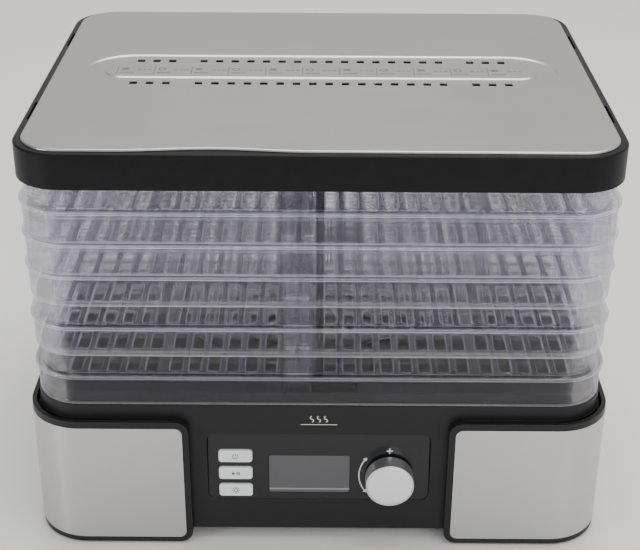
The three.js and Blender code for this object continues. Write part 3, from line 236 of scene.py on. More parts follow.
def between(tree, factor, low, high, socket):
    """Feeds a socket with a value or colour that runs from low to high as the factor goes 0 to 1."""
    colour = isinstance(low, tuple)
    node = tree.nodes.new("ShaderNodeMix")
    node.data_type = "RGBA" if colour else "FLOAT"
    a, b = (6, 7) if colour else (2, 3)
    node.inputs[a].default_value = (*low, 1) if colour else low
    node.inputs[b].default_value = (*high, 1) if colour else high
    tree.links.new(factor, node.inputs[0])
    tree.links.new(node.outputs[2 if colour else 0], socket)


def smudged(tree, smooth, rough, shader):
    """A sheen that is duller where hands have been."""
    between(tree, use_group(tree, marks_group), smooth, rough, shader.inputs["Roughness"])


def bump(tree, height, depth, shader, strength=1.0):
    node = tree.nodes.new("ShaderNodeBump")
    node.inputs["Distance"].default_value = depth
    node.inputs["Strength"].default_value = strength
    tree.links.new(height, node.inputs["Height"])
    tree.links.new(node.outputs[0], shader.inputs["Normal"])


def moulded_plastic(name, colour, worn, smooth, rough, grain=1500.0, depth=0.02 * mm, gloss=0.5):
    """Moulded plastic with a grained face, smudges in its sheen and rubbed corners."""
    material, tree, shader = new_material(name)
    shader.inputs["Specular IOR Level"].default_value = gloss
    between(tree, use_group(tree, wear_group, 0.8), colour, worn, shader.inputs["Base Color"])
    smudged(tree, smooth, rough, shader)
    bump(tree, use_group(tree, grain_group, grain), depth, shader, 0.5)
    return material


black_satin = moulded_plastic("black_satin_plastic", (0.0095, 0.0097, 0.0103), (0.035, 0.035, 0.037),
                              0.36, 0.52, gloss=0.3)

housing_low, housing_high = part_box("base_housing")
middle_y = (housing_low.y + housing_high.y) / 2
housing_x, housing_y = housing_high.x, housing_high.y - middle_y
housing_corner, corner_steps = 27.4 * mm, 12
housing_foot, plinth_top = housing_low.z, housing_high.z
deck_top = plinth_top - 7 * mm
wall = 3 * mm
outlet_radius = 76 * mm
pocket_x, pocket_y = 161.0 * mm, 123.95 * mm
pocket_long, pocket_wide, pocket_deep = 22.2 * mm, 5.6 * mm, 2.5 * mm


def housing_ring(bm, inset, z):
    return rounded_ring(bm, housing_x - inset, housing_y - inset, housing_corner - inset,
                        corner_steps, at(0, middle_y, z))


def round_ring(bm, radius, place, steps=64):
    made = bmesh.ops.create_circle(bm, cap_ends=False, segments=steps, radius=radius, matrix=place)
    return list({edge for vert in made["verts"] for edge in vert.link_edges})


bm = bmesh.new()
outside = [housing_ring(bm, inset * mm, z) for inset, z in (
    (0.5, housing_foot), (0, housing_foot + 0.5 * mm), (0, deck_top - 0.9 * mm),
    (0.25, deck_top - 0.25 * mm), (0.9, deck_top), (3.3, deck_top), (3.5, deck_top + 0.2 * mm), (3.5, plinth_top - 0.8 * mm),
    (3.75, plinth_top - 0.25 * mm), (4.3, plinth_top))]
loft(bm, outside)
inside = [housing_ring(bm, inset * mm, z) for inset, z in (
    (6.5, plinth_top - wall), (6.5, deck_top - wall), (3, deck_top - wall), (3, housing_foot))]
loft(bm, inside)
loft(bm, [outside[0], inside[-1]])
outlet = [round_ring(bm, outlet_radius + grow * mm, at(0, middle_y, z)) for grow, z in (
    (0.4, plinth_top), (0, plinth_top - 0.4 * mm), (0, plinth_top - wall))]
loft(bm, outlet)
# Pockets in the plinth for the stacking blocks under the lowest tray.
pockets = []
for x, y in ((0, -pocket_y), (0, pocket_y), (-pocket_x, 0), (pocket_x, 0)):
    half_x, half_y = (pocket_wide, pocket_long) if x else (pocket_long, pocket_wide)
    mouth, foot = (rounded_face(bm, half_x, half_y, 1.2 * mm, 3, at(x, middle_y + y, plinth_top - drop))
                   for drop in (0, pocket_deep))
    top, bottom = ring_of(bm, mouth), list(foot.edges)
    bmesh.ops.bridge_loops(bm, edges=top + bottom)
    pockets.append(top)
fill_between(bm, [outside[-1], outlet[0], *pockets])
fill_between(bm, [inside[0], outlet[-1]])


def pierce_wall(bm, y, rings_of_opening):
    """Opens the flat wall face that stands at y, around the rings of an opening."""
    large, near = 0.005, 0.05 * mm
    found = [f for f in bm.faces if abs(f.calc_center_median().y - y) < near and abs(f.normal.y) > 0.9
             and f.calc_area() > large]
    edges = [e for f in found for e in f.edges]
    bmesh.ops.delete(bm, geom=found, context="FACES_ONLY")
    fill_between(bm, [edges, *rings_of_opening])


def standing(x, y, z):
    """Turns a shape made flat so that it faces the front, at a point."""
    return at(x, y, z) @ Matrix.Rotation(pi / 2, 4, "X")


bm.normal_update()
front, rear = middle_y - housing_y, middle_y + housing_y
panel_x, panel_z = 67.8 * mm, 23.9 * mm
panel_mid_z, panel_corner = 54.5 * mm, 5 * mm
openings = [rounded_ring(bm, panel_x + grow, panel_z + grow, panel_corner + grow, 6,
                         standing(0, y, panel_mid_z))
            for grow, y in ((0.7 * mm, front), (0.3 * mm, front + 0.4 * mm), (0.3 * mm, front + wall))]
loft(bm, openings)
pierce_wall(bm, front, [openings[0]])
pierce_wall(bm, front + wall, [openings[-1]])
gland_low, gland_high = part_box("cable_gland")
gland_x, gland_z = (gland_low.x + gland_high.x) / 2, (gland_low.z + gland_high.z) / 2
gland_rings = [round_ring(bm, 6.1 * mm, standing(gland_x, y, gland_z), 32) for y in (rear - wall, rear)]
loft(bm, gland_rings)
pierce_wall(bm, rear - wall, [gland_rings[0]])
pierce_wall(bm, rear, [gland_rings[1]])
add_piece(bm, "housing_shell", black_satin, "base", ["base_housing"])

# ---------------------------------------------------------------- end caps and their steel
# Each end of the base wears a black cap that stands off the wall on a floor of its own, with a trench
# behind its rim. A brushed stainless sheet wraps the cap's front, side and back, set in a shallow seat.

cap_low, cap_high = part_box("right_end_cap")
steel_low, steel_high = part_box("right_steel_cover")
cap_edge, steel_edge = cap_low.x, steel_low.x
cap_out = cap_high.x - housing_x
steel_out = steel_high.x - housing_x
trench_rim, trench_lip, trench_deep, trench_draft = 2.8 * mm, 0.5 * mm, 6.2 * mm, 0.05 * mm
cap_corner, steel_corner, steel_sink = 8 * mm, 4.5 * mm, 0.2 * mm


def brushed_steel(name, colour, dull, along):
    """Brushed stainless sheet, its lines running along one axis."""
    material, tree, shader = new_material(name, metallic=1.0)
    place = object_place(tree)
    lines = noise(tree, stretched(tree, place, along), 1, 5, 0.65)
    fine = noise(tree, stretched(tree, place, tuple(2.7 * k for k in along)), 1, 3, 0.6)
    both = times(tree, lines, fine)
    between(tree, both, dull, colour, shader.inputs["Base Color"])
    sheen = plus(tree, times(tree, both, 0.22), times(tree, use_group(tree, marks_group), 0.1))
    tree.links.new(plus(tree, sheen, 0.22), shader.inputs["Roughness"])
    bump(tree, both, 0.012 * mm, shader, 0.6)
    return material


cover_steel = brushed_steel("brushed_steel_covers", (0.64, 0.62, 0.61), (0.53, 0.515, 0.505), (8, 8, 2600))


def cap_ring(bm, out, z, steps=14):
    return rounded_ring(bm, housing_x + out, housing_y + out, housing_corner + out, steps,
                        at(0, middle_y, z))


def cut_at(bm, x, way, **clear):
    """Cuts every face across a plane that stands at x."""
    return bmesh.ops.bisect_plane(bm, geom=bm.verts[:] + bm.edges[:] + bm.faces[:], dist=0.0001 * mm,
                                  plane_co=(x, 0, 0), plane_no=(way, 0, 0), **clear)


def keep_beyond(bm, side, edge):
    """Cuts a ring off at the inner edge of a cap and closes the cut faces."""
    cut = cut_at(bm, side * edge, side, clear_inner=True)
    rims = [e for e in cut["geom_cut"] if isinstance(e, bmesh.types.BMEdge)]
    bmesh.ops.holes_fill(bm, edges=rims, sides=0)


def round_inner_corners(bm, side, edge, radius, steps):
    """Rounds the corners of a cap or cover as seen from the front, on the cut that faces the panel."""
    near = 0.01 * mm
    top, bottom = max(v.co.z for v in bm.verts), min(v.co.z for v in bm.verts)
    found = [e for e in bm.edges if all(abs(v.co.x - side * edge) < near for v in e.verts)
             and any(all(abs(v.co.z - level) < near for v in e.verts) for level in (top, bottom))]
    bmesh.ops.bevel(bm, geom=found, offset=radius, offset_type="OFFSET", segments=steps, profile=0.5,
                    affect="EDGES", material=-1, clamp_overlap=False)


def soften(piece, name, width, steps):
    """Rounds every sharp edge of a cap or a sheet."""
    soft = piece.modifiers.new(name, "BEVEL")
    soft.width, soft.segments = width, steps
    soft.limit_method, soft.angle_limit = "ANGLE", radians(50)


for side, label in ((-1, "left"), (1, "right")):
    bm = bmesh.new()
    back = 0.3 * mm
    sides = [cap_ring(bm, out, z) for out, z in (
        (cap_out, cap_low.z), (cap_out, cap_high.z), (cap_out - trench_rim, cap_high.z))]
    inner = [cap_ring(bm, out, z) for out, z in (
        (back + trench_lip, cap_high.z), (back, cap_high.z), (back, cap_low.z))]
    loft(bm, sides)
    trench = fill_between(bm, [sides[-1], inner[0]])
    for face in trench["geom"]:
        if isinstance(face, bmesh.types.BMFace):
            face.material_index = 1
    loft(bm, [*inner, sides[0]])
    keep_beyond(bm, side, cap_edge)
    round_inner_corners(bm, side, cap_edge, cap_corner, 8)
    # The trench behind the rim stops short of the rounded corner, where a cheek closes it.
    trench_end = cap_edge + cap_corner + 1 * mm
    cut_at(bm, side * trench_end, 1)
    strip = [f for f in bm.faces
             if f.material_index == 1 and abs(f.calc_center_median().x) > trench_end]
    bmesh.ops.recalc_face_normals(bm, faces=bm.faces)
    bmesh.ops.inset_region(bm, faces=strip, thickness=trench_draft, depth=-trench_deep,
                           use_even_offset=True)
    for face in bm.faces:
        face.material_index = 0
    cap = add_piece(bm, f"{label}_cap_shell", black_satin, "base",
                    [f"{label}_end_cap"], flats=False)
    soften(cap, "moulded_radius", 0.7 * mm, 3)

    bm = bmesh.new()
    rings = [cap_ring(bm, out, z, 20) for out, z in (
        (steel_out, steel_low.z), (steel_out, steel_high.z),
        (cap_out - steel_sink, steel_high.z), (cap_out - steel_sink, steel_low.z))]
    loft(bm, [*rings, rings[0]])
    keep_beyond(bm, side, steel_edge)
    round_inner_corners(bm, side, steel_edge, steel_corner, 6)
    sheet = add_piece(bm, f"{label}_steel_sheet", cover_steel, "base",
                      [f"{label}_steel_cover"], flats=False)
    soften(sheet, "pressed_edge", 0.2 * mm, 2)

# ---------------------------------------------------------------- control panel and its print
# A fascia in high-gloss black, sunk into the front wall: flush along its lower edge, set back at its top.
# It is pierced for three keys, the display and the knob. The white marks are pad printed.

black_gloss = moulded_plastic("black_gloss_plastic", (0.011, 0.011, 0.013), (0.03, 0.03, 0.033), 0.07, 0.16,
                              grain=60.0, depth=0.01 * mm, gloss=0.4)
panel_sink, panel_foot = 2.5 * mm, panel_mid_z - panel_z
slope = panel_sink / (2 * panel_z)
sloping = Matrix.Identity(4)
sloping[1][2], sloping[1][3] = slope, -slope * panel_foot


def pierced_plate(bm, outline, openings, soft, thick, place, steps=6):
    """A plate with softened rims. The outline and each opening are (x, y, half x, half y, radius)."""
    tops, bottoms = [], []
    for number, (x, y, half_x, half_y, radius) in enumerate([outline, *openings]):
        way = 1 if number else -1
        rims = []
        for out, down in ((soft, 0), (0.3 * soft, 0.3 * soft), (0, soft), (0, thick)):
            rims.append(rounded_ring(bm, half_x + way * out, half_y + way * out, radius + way * out,
                                     steps, place @ at(x, y, -down)))
        loft(bm, rims)
        tops.append(rims[0])
        bottoms.append(rims[-1])
    fill_between(bm, tops)
    fill_between(bm, bottoms)


key_x, key_half_x, key_half_z, key_corner = -51 * mm, 10.4 * mm, 4.4 * mm, 2 * mm
key_heights = {"power": 61.7 * mm, "start": 49.5 * mm, "temperature": 37.3 * mm}
key_gap = 0.35 * mm
window_x, window_z = -5.7 * mm, 48.75 * mm
window_half_x, window_half_z = 24.9 * mm, 13.35 * mm
knob_x, knob_z = 43.4 * mm, 48.2 * mm
neck_hole = 4.7 * mm

bm = bmesh.new()
holes = [(key_x, z - panel_mid_z, key_half_x + key_gap, key_half_z + key_gap, key_corner + key_gap)
         for z in key_heights.values()]
holes.append((window_x, window_z - panel_mid_z, window_half_x, window_half_z, 1 * mm))
holes.append((knob_x, knob_z - panel_mid_z, neck_hole, neck_hole, neck_hole))
pierced_plate(bm, (0, 0, panel_x, panel_z, panel_corner), holes, 0.35 * mm, 3 * mm,
              standing(0, front, panel_mid_z))
bmesh.ops.transform(bm, matrix=sloping, verts=bm.verts)
add_piece(bm, "panel_fascia", black_gloss, "base", ["control_panel"])

white_ink = moulded_plastic("white_ink", (0.72, 0.72, 0.71), (0.78, 0.78, 0.77), 0.4, 0.55, grain=4000.0)
ink_thick = 0.05 * mm


def bar(bm, x, y, half_x, half_y, turn=0.0):
    """A printed bar, flat in its own plane."""
    place = at(x, y, 0) @ Matrix.Rotation(turn, 4, "Z") @ Matrix.Diagonal((half_x, half_y, 1, 1))
    bmesh.ops.create_grid(bm, x_segments=1, y_segments=1, size=1, matrix=place)


def arc(bm, x, y, radius, width, start, sweep, steps=20):
    """A printed arc, swept from a short edge."""
    edge = [bm.verts.new((x + r * cos(start), y + r * sin(start), 0))
            for r in (radius - width / 2, radius + width / 2)]
    bmesh.ops.spin(bm, geom=[*edge, bm.edges.new(edge)], cent=(x, y, 0), axis=(0, 0, 1), angle=sweep,
                   steps=steps, use_merge=abs(sweep) > 6.28, use_duplicate=False)


def arrow_head(bm, x, y, size, turn):
    """A printed triangle that points the way it is turned."""
    bmesh.ops.create_circle(bm, cap_ends=True, segments=3, radius=size,
                            matrix=at(x, y, 0) @ Matrix.Rotation(turn, 4, "Z"))


def print_on(bm, name, ink, place, body):
    """Gives printed shapes their ink thickness and sets them on a face."""
    bmesh.ops.recalc_face_normals(bm, faces=bm.faces)
    raised = bmesh.ops.extrude_face_region(bm, geom=bm.faces[:], use_keep_orig=True)
    bmesh.ops.translate(bm, vec=(0, 0, ink_thick),
                        verts=[v for v in raised["geom"] if isinstance(v, bmesh.types.BMVert)])
    bmesh.ops.transform(bm, matrix=place, verts=bm.verts)
    add_piece(bm, name, ink, body)


# Round the knob: a plus above it and a double-headed arc beside it.
bm = bmesh.new()
bar(bm, 0, 17.4 * mm, 1.9 * mm, 0.42 * mm)
bar(bm, 0, 17.4 * mm, 0.42 * mm, 1.9 * mm)
arc_radius, arc_end = 18.6 * mm, radians(36)
arc(bm, 0, 0, arc_radius, 0.7 * mm, pi - arc_end, 2 * arc_end)
for way in (-1, 1):
    turn = pi + way * (arc_end + radians(2))
    arrow_head(bm, arc_radius * cos(turn), arc_radius * sin(turn), 1.5 * mm,
               turn if way > 0 else turn + pi)
print_on(bm, "panel_marks", white_ink, sloping @ standing(knob_x, front, knob_z), "base")

# Above the panel: a plain warm-air sign, three rising waves over a rule.
bm = bmesh.new()
for wave_x in (-4.2, 0, 4.2):
    for rise, way in ((2.1, 1), (4.16, -1)):
        arc(bm, wave_x * mm, rise * mm, 1.0 * mm, 0.5 * mm, -pi / 2, way * pi, 10)
bar(bm, 0, -0.7 * mm, 11 * mm, 0.2 * mm)
print_on(bm, "warm_air_sign", white_ink, standing(0, front, 86.6 * mm), "base")

# ---------------------------------------------------------------- display
# A grey tinted lens snapped into the fascia over the display. A pale line is painted across it a little
# above its foot: a painted highlight for the glass module's lower edge catching the light through the lens.

lens_material, lens_tree, lens_shader = new_material("grey_display_lens", ior=1.5)
lens_axes = lens_tree.nodes.new("ShaderNodeSeparateXYZ")
lens_tree.links.new(object_place(lens_tree), lens_axes.inputs[0])
# Painted highlight: a pale band in the base colour along one height of the lens.
line_z, line_fade = window_z - window_half_z + 2.6 * mm, 1300.0
from_line = maths(lens_tree, "ABSOLUTE", maths(lens_tree, "SUBTRACT", lens_axes.outputs["Z"], line_z))
on_line = clamped(lens_tree, maths(lens_tree, "SUBTRACT", 1.0, times(lens_tree, from_line, line_fade)))
between(lens_tree, on_line, (0.085, 0.084, 0.091), (0.33, 0.33, 0.35), lens_shader.inputs["Base Color"])
smudged(lens_tree, 0.08, 0.2, lens_shader)
bump(lens_tree, use_group(lens_tree, grain_group, 90.0), 0.01 * mm, lens_shader, 0.3)

lens_gap = 0.15 * mm
bm = bmesh.new()
pierced_plate(bm, (0, 0, window_half_x - lens_gap, window_half_z - lens_gap, 0.9 * mm), [], 0.15 * mm,
              1.2 * mm, standing(window_x, front + 0.15 * mm, window_z))
bmesh.ops.transform(bm, matrix=sloping, verts=bm.verts)
add_piece(bm, "display_lens", lens_material, "base", ["display_window"])

# ---------------------------------------------------------------- keys
# Three key caps in silver-white lacquer, each proud of the fascia with a rounded rim, sprung on a switch
# behind. Their signs are printed in dark grey: power, start and pause, temperature.

key_lacquer = moulded_plastic("silver_white_lacquer", (0.80, 0.84, 0.84), (0.86, 0.88, 0.88), 0.3, 0.42,
                              grain=2400.0, depth=0.01 * mm)
dark_ink = moulded_plastic("dark_grey_ink", (0.045, 0.05, 0.055), (0.06, 0.065, 0.07), 0.45, 0.6,
                           grain=4000.0)
key_proud = 1 * mm

for name, z in key_heights.items():
    face_y = front + slope * (z - panel_foot) - key_proud
    bm = bmesh.new()
    pierced_plate(bm, (0, 0, key_half_x, key_half_z, key_corner), [], 0.6 * mm, 7 * mm,
                  standing(key_x, face_y, z))
    add_piece(bm, f"{name}_key", key_lacquer, f"{name}_button", [f"{name}_button"])
    bm = bmesh.new()
    if name == "power":
        arc(bm, 0, 0, 1.7 * mm, 0.45 * mm, radians(125), radians(290), 24)
        bar(bm, 0, 1.15 * mm, 0.22 * mm, 1.1 * mm)
    elif name == "start":
        arrow_head(bm, -1.5 * mm, 0, 1.45 * mm, -pi / 2)
        for x in (0.9, 2.1):
            bar(bm, x * mm, 0, 0.32 * mm, 1.25 * mm)
    else:
        arc(bm, 0, 0, 1.15 * mm, 0.45 * mm, 0, 2 * pi, 24)
        for ray in range(8):
            turn = ray * pi / 4
            bar(bm, 2.05 * mm * cos(turn), 2.05 * mm * sin(turn), 0.42 * mm, 0.2 * mm, turn)
    print_on(bm, f"{name}_sign", dark_ink, standing(key_x, face_y, z), f"{name}_button")

# ---------------------------------------------------------------- knob
# A turned knob on the encoder's shaft: bright plated side, and a spun aluminium disc let into its front,
# which keeps the fine rings of the tool.

knob_low, knob_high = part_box("knob")
knob_radius = (knob_high.x - knob_low.x) / 2
knob_front, knob_back = knob_low.y, knob_high.y
disc_radius = knob_radius - 1.25 * mm


def spun_metal(name, colour, dull, centre, rings):
    """Metal with fine rings round an axis that runs front to back."""
    material, tree, shader = new_material(name, metallic=1.0)
    centred = tree.nodes.new("ShaderNodeMapping")
    centred.inputs["Location"].default_value = (-centre[0], 0, -centre[1])
    centred.inputs["Scale"].default_value = (1, 0.0001, 1)
    tree.links.new(object_place(tree), centred.inputs["Vector"])
    length = tree.nodes.new("ShaderNodeVectorMath")
    length.operation = "LENGTH"
    tree.links.new(centred.outputs[0], length.inputs[0])
    ring = tree.nodes.new("ShaderNodeTexNoise")
    ring.noise_dimensions = "1D"
    ring.inputs["Scale"].default_value = rings
    ring.inputs["Detail"].default_value = 3
    tree.links.new(length.outputs["Value"], ring.inputs["W"])
    between(tree, ring.outputs["Fac"], dull, colour, shader.inputs["Base Color"])
    rough = plus(tree, times(tree, ring.outputs["Fac"], 0.18),
                 times(tree, use_group(tree, marks_group), 0.1))
    tree.links.new(plus(tree, rough, 0.2), shader.inputs["Roughness"])
    bump(tree, ring.outputs["Fac"], 0.02 * mm, shader, 0.6)
    return material


disc_metal = spun_metal("spun_aluminium_disc", (0.97, 0.97, 0.98), (0.88, 0.88, 0.89),
                        (knob_x, knob_z), 5200.0)
plated, plated_tree, plated_shader = new_material("bright_plated_side", metallic=1.0)
between(plated_tree, use_group(plated_tree, marks_group), (0.80, 0.83, 0.86), (0.72, 0.75, 0.78),
        plated_shader.inputs["Base Color"])
smudged(plated_tree, 0.34, 0.46, plated_shader)
plated_lines = stretched(plated_tree, object_place(plated_tree), (300, 9000, 300))
bump(plated_tree, noise(plated_tree, plated_lines, 1, 3), 0.01 * mm, plated_shader, 0.4)


def spin_profile(bm, profile, steps, place):
    """Turns a profile of (radius, height) pairs once round, then sets the shape in place."""
    made = [bm.verts.new((r, 0, z)) for r, z in profile]
    lines = [bm.edges.new(pair) for pair in zip(made, made[1:])]
    bmesh.ops.spin(bm, geom=[*made, *lines], cent=(0, 0, 0), axis=(0, 0, 1), angle=2 * pi, steps=steps,
                   use_merge=True, use_duplicate=False)
    bmesh.ops.remove_doubles(bm, verts=bm.verts, dist=0.001 * mm)
    bmesh.ops.transform(bm, matrix=place, verts=bm.verts)


knob_long = knob_back - knob_front
seat_z, roof_z = knob_long - 0.9 * mm, knob_long - 2.6 * mm
bm = bmesh.new()
spin_profile(bm, [(r * mm, z) for r, z in (
    (0, seat_z), (13.6, seat_z), (13.65, knob_long - 0.12 * mm), (13.8, knob_long),
    (14.2, knob_long), (14.5, knob_long - 0.12 * mm), (14.68, knob_long - 0.35 * mm),
    (14.75, knob_long - 0.8 * mm), (14.75, 0.3 * mm), (14.5, 0), (12.8, 0), (12.55, 0.3 * mm),
    (12.55, roof_z), (5.4, roof_z), (5.4, 0), (3.2, 0), (3.2, roof_z), (0, roof_z))],
    96, standing(knob_x, knob_back, knob_z))
add_piece(bm, "knob_shell", plated, "knob", ["knob"])
bm = bmesh.new()
top = knob_long - 0.05 * mm
disc_back = knob_long - 0.8 * mm
spin_profile(bm, [(0, top - 0.12 * mm), (9 * mm, top - 0.08 * mm), (disc_radius - 0.3 * mm, top),
                  (disc_radius, top - 0.2 * mm), (disc_radius, disc_back), (0, disc_back)],
             96, standing(knob_x, knob_back, knob_z))
add_piece(bm, "knob_disc", disc_metal, "knob", ["knob_face"])

# ---------------------------------------------------------------- trays
# Five identical trays, injection moulded in clear plastic with a faint violet cast: a floor with rows of
# drying slots, a skirt below, a wall above, and hollow stacking posts that let a turned tray sit low.

tray_clear, tray_tree, tray_shader = new_material("clear_violet_plastic", ior=1.49)
tray_shader.inputs["Transmission Weight"].default_value = 1.0
tray_edge = tray_tree.nodes.new("ShaderNodeLayerWeight")
tray_edge.inputs["Blend"].default_value = 0.35
between(tray_tree, tray_edge.outputs["Facing"], (0.915, 0.90, 0.99), (0.58, 0.53, 0.82),
        tray_shader.inputs["Base Color"])
tray_tree.links.new(times(tray_tree, use_group(tray_tree, marks_group), 0.018),
                    tray_shader.inputs["Roughness"])
bump(tray_tree, noise(tray_tree, object_place(tray_tree), 60, 1), 0.05 * mm, tray_shader, 0.1)
# Walls seen square on let most light straight through; edges seen along them gather the tint.
tray_body = plus(tray_tree, times(tray_tree, tray_edge.outputs["Facing"], 0.6), 0.22)
light_path = tray_tree.nodes.new("ShaderNodeLightPath")
tray_lit = maths(tray_tree, "SUBTRACT", 1.0, light_path.outputs["Is Shadow Ray"])
tray_tree.links.new(times(tray_tree, tray_body, tray_lit), tray_shader.inputs["Alpha"])
# A violet-white glow is painted onto the rounded rims as emission: a painted highlight for light trapped in
# the clear sheet that leaves there, most of all at rims turned to the back.
rim_axes = tray_tree.nodes.new("ShaderNodeSeparateXYZ")
true_normal = tray_tree.nodes.new("ShaderNodeNewGeometry").outputs["True Normal"]
tray_tree.links.new(true_normal, rim_axes.inputs[0])
across, upward = (maths(tray_tree, "ABSOLUTE", rim_axes.outputs[axis]) for axis in ("Y", "Z"))
from_slant = maths(tray_tree, "ABSOLUTE", maths(tray_tree, "SUBTRACT", upward, 0.62))
on_rim = maths(tray_tree, "LESS_THAN", from_slant, 0.34)
to_back = plus(tray_tree, times(tray_tree, across, 0.9), 0.25)
# Painted glow: emission colour on slanted rims, strongest on those facing front or back.
between(tray_tree, times(tray_tree, on_rim, to_back), (0.0, 0.0, 0.0), (0.80, 0.77, 0.98),
        tray_shader.inputs["Emission Color"])
tray_shader.inputs["Emission Strength"].default_value = 0.55

tray_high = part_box("tray_5")[1]
tray_x, tray_y = tray_high.x, tray_high.y - middle_y
tray_corner = 28.4 * mm
floor_thick, skirt_drop, wall_rise = 2.2 * mm, 20 * mm, 14.5 * mm
slot_half_x, slot_half_y, slot_radius = 3.5 * mm, 10.75 * mm, 1.9 * mm
row_pitch, column_pitch, first_column = 26 * mm, 11.3 * mm, 6.6 * mm
outer_group = 3 * mm
post_offset, post_half, post_deep, post_skin = -12.8 * mm, 8.7 * mm, 9 * mm, 1.6 * mm
post_rise, block_drop, block_gap = 17.8 * mm, 15.2 * mm, 0.6 * mm
floor_x, floor_y = tray_x - 6.6 * mm, tray_y - 6.6 * mm
slot_columns, slot_rows, last_inner_column = 14, 10, 7
corner_cut, corner_column = 3.3 * mm, 155 * mm


def tray_ring(bm, inset, z):
    return rounded_ring(bm, tray_x - inset * mm, tray_y - inset * mm, tray_corner - inset * mm, 10,
                        at(0, 0, z * mm))


def slot_mesh(half_y):
    """The wall of one drying slot: rounded at its upper rim, with a little draft below."""
    shape = bmesh.new()
    loft(shape, [rounded_ring(shape, slot_half_x + out, half_y + out, slot_radius + out, 3, at(0, 0, z))
                 for out, z in ((0.6 * mm, 0), (0, -0.65 * mm), (0.1 * mm, -floor_thick))])
    return as_mesh(shape, "slot_wall")


def column_block(bm, half_x, y_out, y_in, z_low, z_high, hollow_to, ribbed, turn):
    """One hollow stacking column, open below, standing against a wall and turned to its side."""
    parts = bmesh.new()
    mid, half_y = (y_out + y_in) / 2, abs(y_in - y_out) / 2
    shell = [rounded_ring(parts, half_x - soft, half_y - soft, 1.0 * mm, 3, at(0, mid, z))
             for soft, z in ((0, z_low), (0, z_high - 0.5 * mm), (0.5 * mm, z_high))]
    loft(parts, shell)
    bmesh.ops.contextual_create(parts, geom=shell[-1])
    mouths = []
    for a, b in ((-1, -0.09), (0.09, 1)) if ribbed else ((-1, 1),):
        reach = half_x - post_skin
        cell_x, cell_half = reach * (a + b) / 2, reach * (b - a) / 2
        hollow = [rounded_ring(parts, cell_half - soft, half_y - post_skin - soft * 0.5, 1.2 * mm, 3,
                               at(cell_x, mid, z))
                  for soft, z in ((0, z_low), (0.2 * mm, hollow_to - 1.2 * mm), (1.0 * mm, hollow_to))]
        loft(parts, hollow)
        bmesh.ops.contextual_create(parts, geom=hollow[-1])
        mouths.append(hollow[0])
    fill_between(parts, [shell[0], *mouths])
    bmesh.ops.transform(parts, matrix=turn, verts=parts.verts)
    bmesh.ops.recalc_face_normals(parts, faces=parts.faces)
    made = as_mesh(parts, "column")
    bm.from_mesh(made)
    bpy.data.meshes.remove(made)


def on_four_walls():
    """Turns that carry a shape from the front wall to each wall, with the wall's distance out."""
    aside = at(post_offset, 0, 0)
    yield aside, floor_y
    yield aside @ Matrix.Rotation(pi, 4, "Z"), floor_y
    down = at(0, post_offset, 0)
    yield down @ Matrix.Rotation(pi / 2, 4, "Z"), floor_x
    yield down @ Matrix.Rotation(-pi / 2, 4, "Z"), floor_x


def under_post(x, y, half_y):
    """Whether a slot would open under a stacking post."""
    margin = 0.6 * mm
    for across, along, wall_at in ((x, y, floor_y), (y, x, floor_x)):
        half_a, half_b = (slot_half_x, half_y) if across is x else (half_y, slot_half_x)
        beside = abs(across - post_offset) < post_half + half_a + margin
        if beside and abs(along) + half_b > wall_at - post_deep - margin:
            return True
    return False


bm = bmesh.new()
plain, short = slot_mesh(slot_half_y), slot_mesh(slot_half_y - corner_cut)
for number in range(slot_columns):
    column = first_column + column_pitch * number + (outer_group if number > last_inner_column else 0)
    for x in (-column, column):
        for row in range(slot_rows):
            y = (row - (slot_rows - 1) / 2) * row_pitch
            near_corner = column > corner_column and row in (0, slot_rows - 1)
            half_y = slot_half_y - corner_cut if near_corner else slot_half_y
            if near_corner:
                y -= (1 if y > 0 else -1) * corner_cut
            if under_post(x, y, half_y):
                continue
            made = short if near_corner else plain
            made.transform(at(x, y, 0))
            bm.from_mesh(made)
            made.transform(at(-x, -y, 0))
rims = [e for e in bm.edges if len(e.link_faces) == 1]
upper_rims = [e for e in rims if e.verts[0].co.z > -floor_thick / 2]
lower_rims = [e for e in rims if e.verts[0].co.z < -floor_thick / 2]
section = [tray_ring(bm, inset, z) for inset, z in (
    (6.6, 0), (6.6, 13.9), (6.35, 14.35), (6.0, 14.5), (5.4, 14.5), (5.05, 14.35), (4.8, 13.9),
    (4.8, 0.3), (4.5, 0), (0.9, 0), (0.3, -0.25), (0, -0.8), (0, -1.5), (0.3, -2.0), (0.9, -2.2),
    (1.3, -2.3), (1.5, -2.7), (1.5, -19.3), (1.7, -19.8), (2.2, -20), (2.7, -20), (3.1, -19.8),
    (3.3, -19.3), (3.3, -2.6), (3.7, -2.2), (6.6, -2.2))]
loft(bm, section)
fill_between(bm, [upper_rims, section[0]])
fill_between(bm, [lower_rims, section[-1]])
for turn, out in on_four_walls():
    column_block(bm, post_half, -out - 0.3 * mm, -out + post_deep, -0.2 * mm, post_rise,
                 post_rise - post_skin, True, turn)
    column_block(bm, post_half, -out + block_gap, -out + post_deep, -block_drop,
                 -floor_thick + 0.2 * mm, -floor_thick, False, turn)
bmesh.ops.recalc_face_normals(bm, faces=bm.faces)
tray_shape = as_mesh(bm, "tray_shape")

# One tray sits turned half round, so that its posts meet the blocks above and the stack drops lower.
turned_tray = 2
for number in range(1, 6):
    bm = bmesh.new()
    bm.from_mesh(tray_shape)
    half_turn = Matrix.Rotation(pi if number == turned_tray else 0, 4, "Z")
    floor_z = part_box(f"tray_{number}")[0].z + skirt_drop
    bmesh.ops.transform(bm, matrix=at(0, middle_y, floor_z) @ half_turn, verts=bm.verts)
    add_piece(bm, f"clear_tray_{number}", tray_clear, f"tray_{number}",
              [f"tray_{number}"], crease=40)

# ---------------------------------------------------------------- lid frame
# A black moulded frame of the trays' outline: a skirt that drops round the top tray, a chamfered rim, a
# seat for the steel, two slots under its vents, and finger-wide louvres at each end.

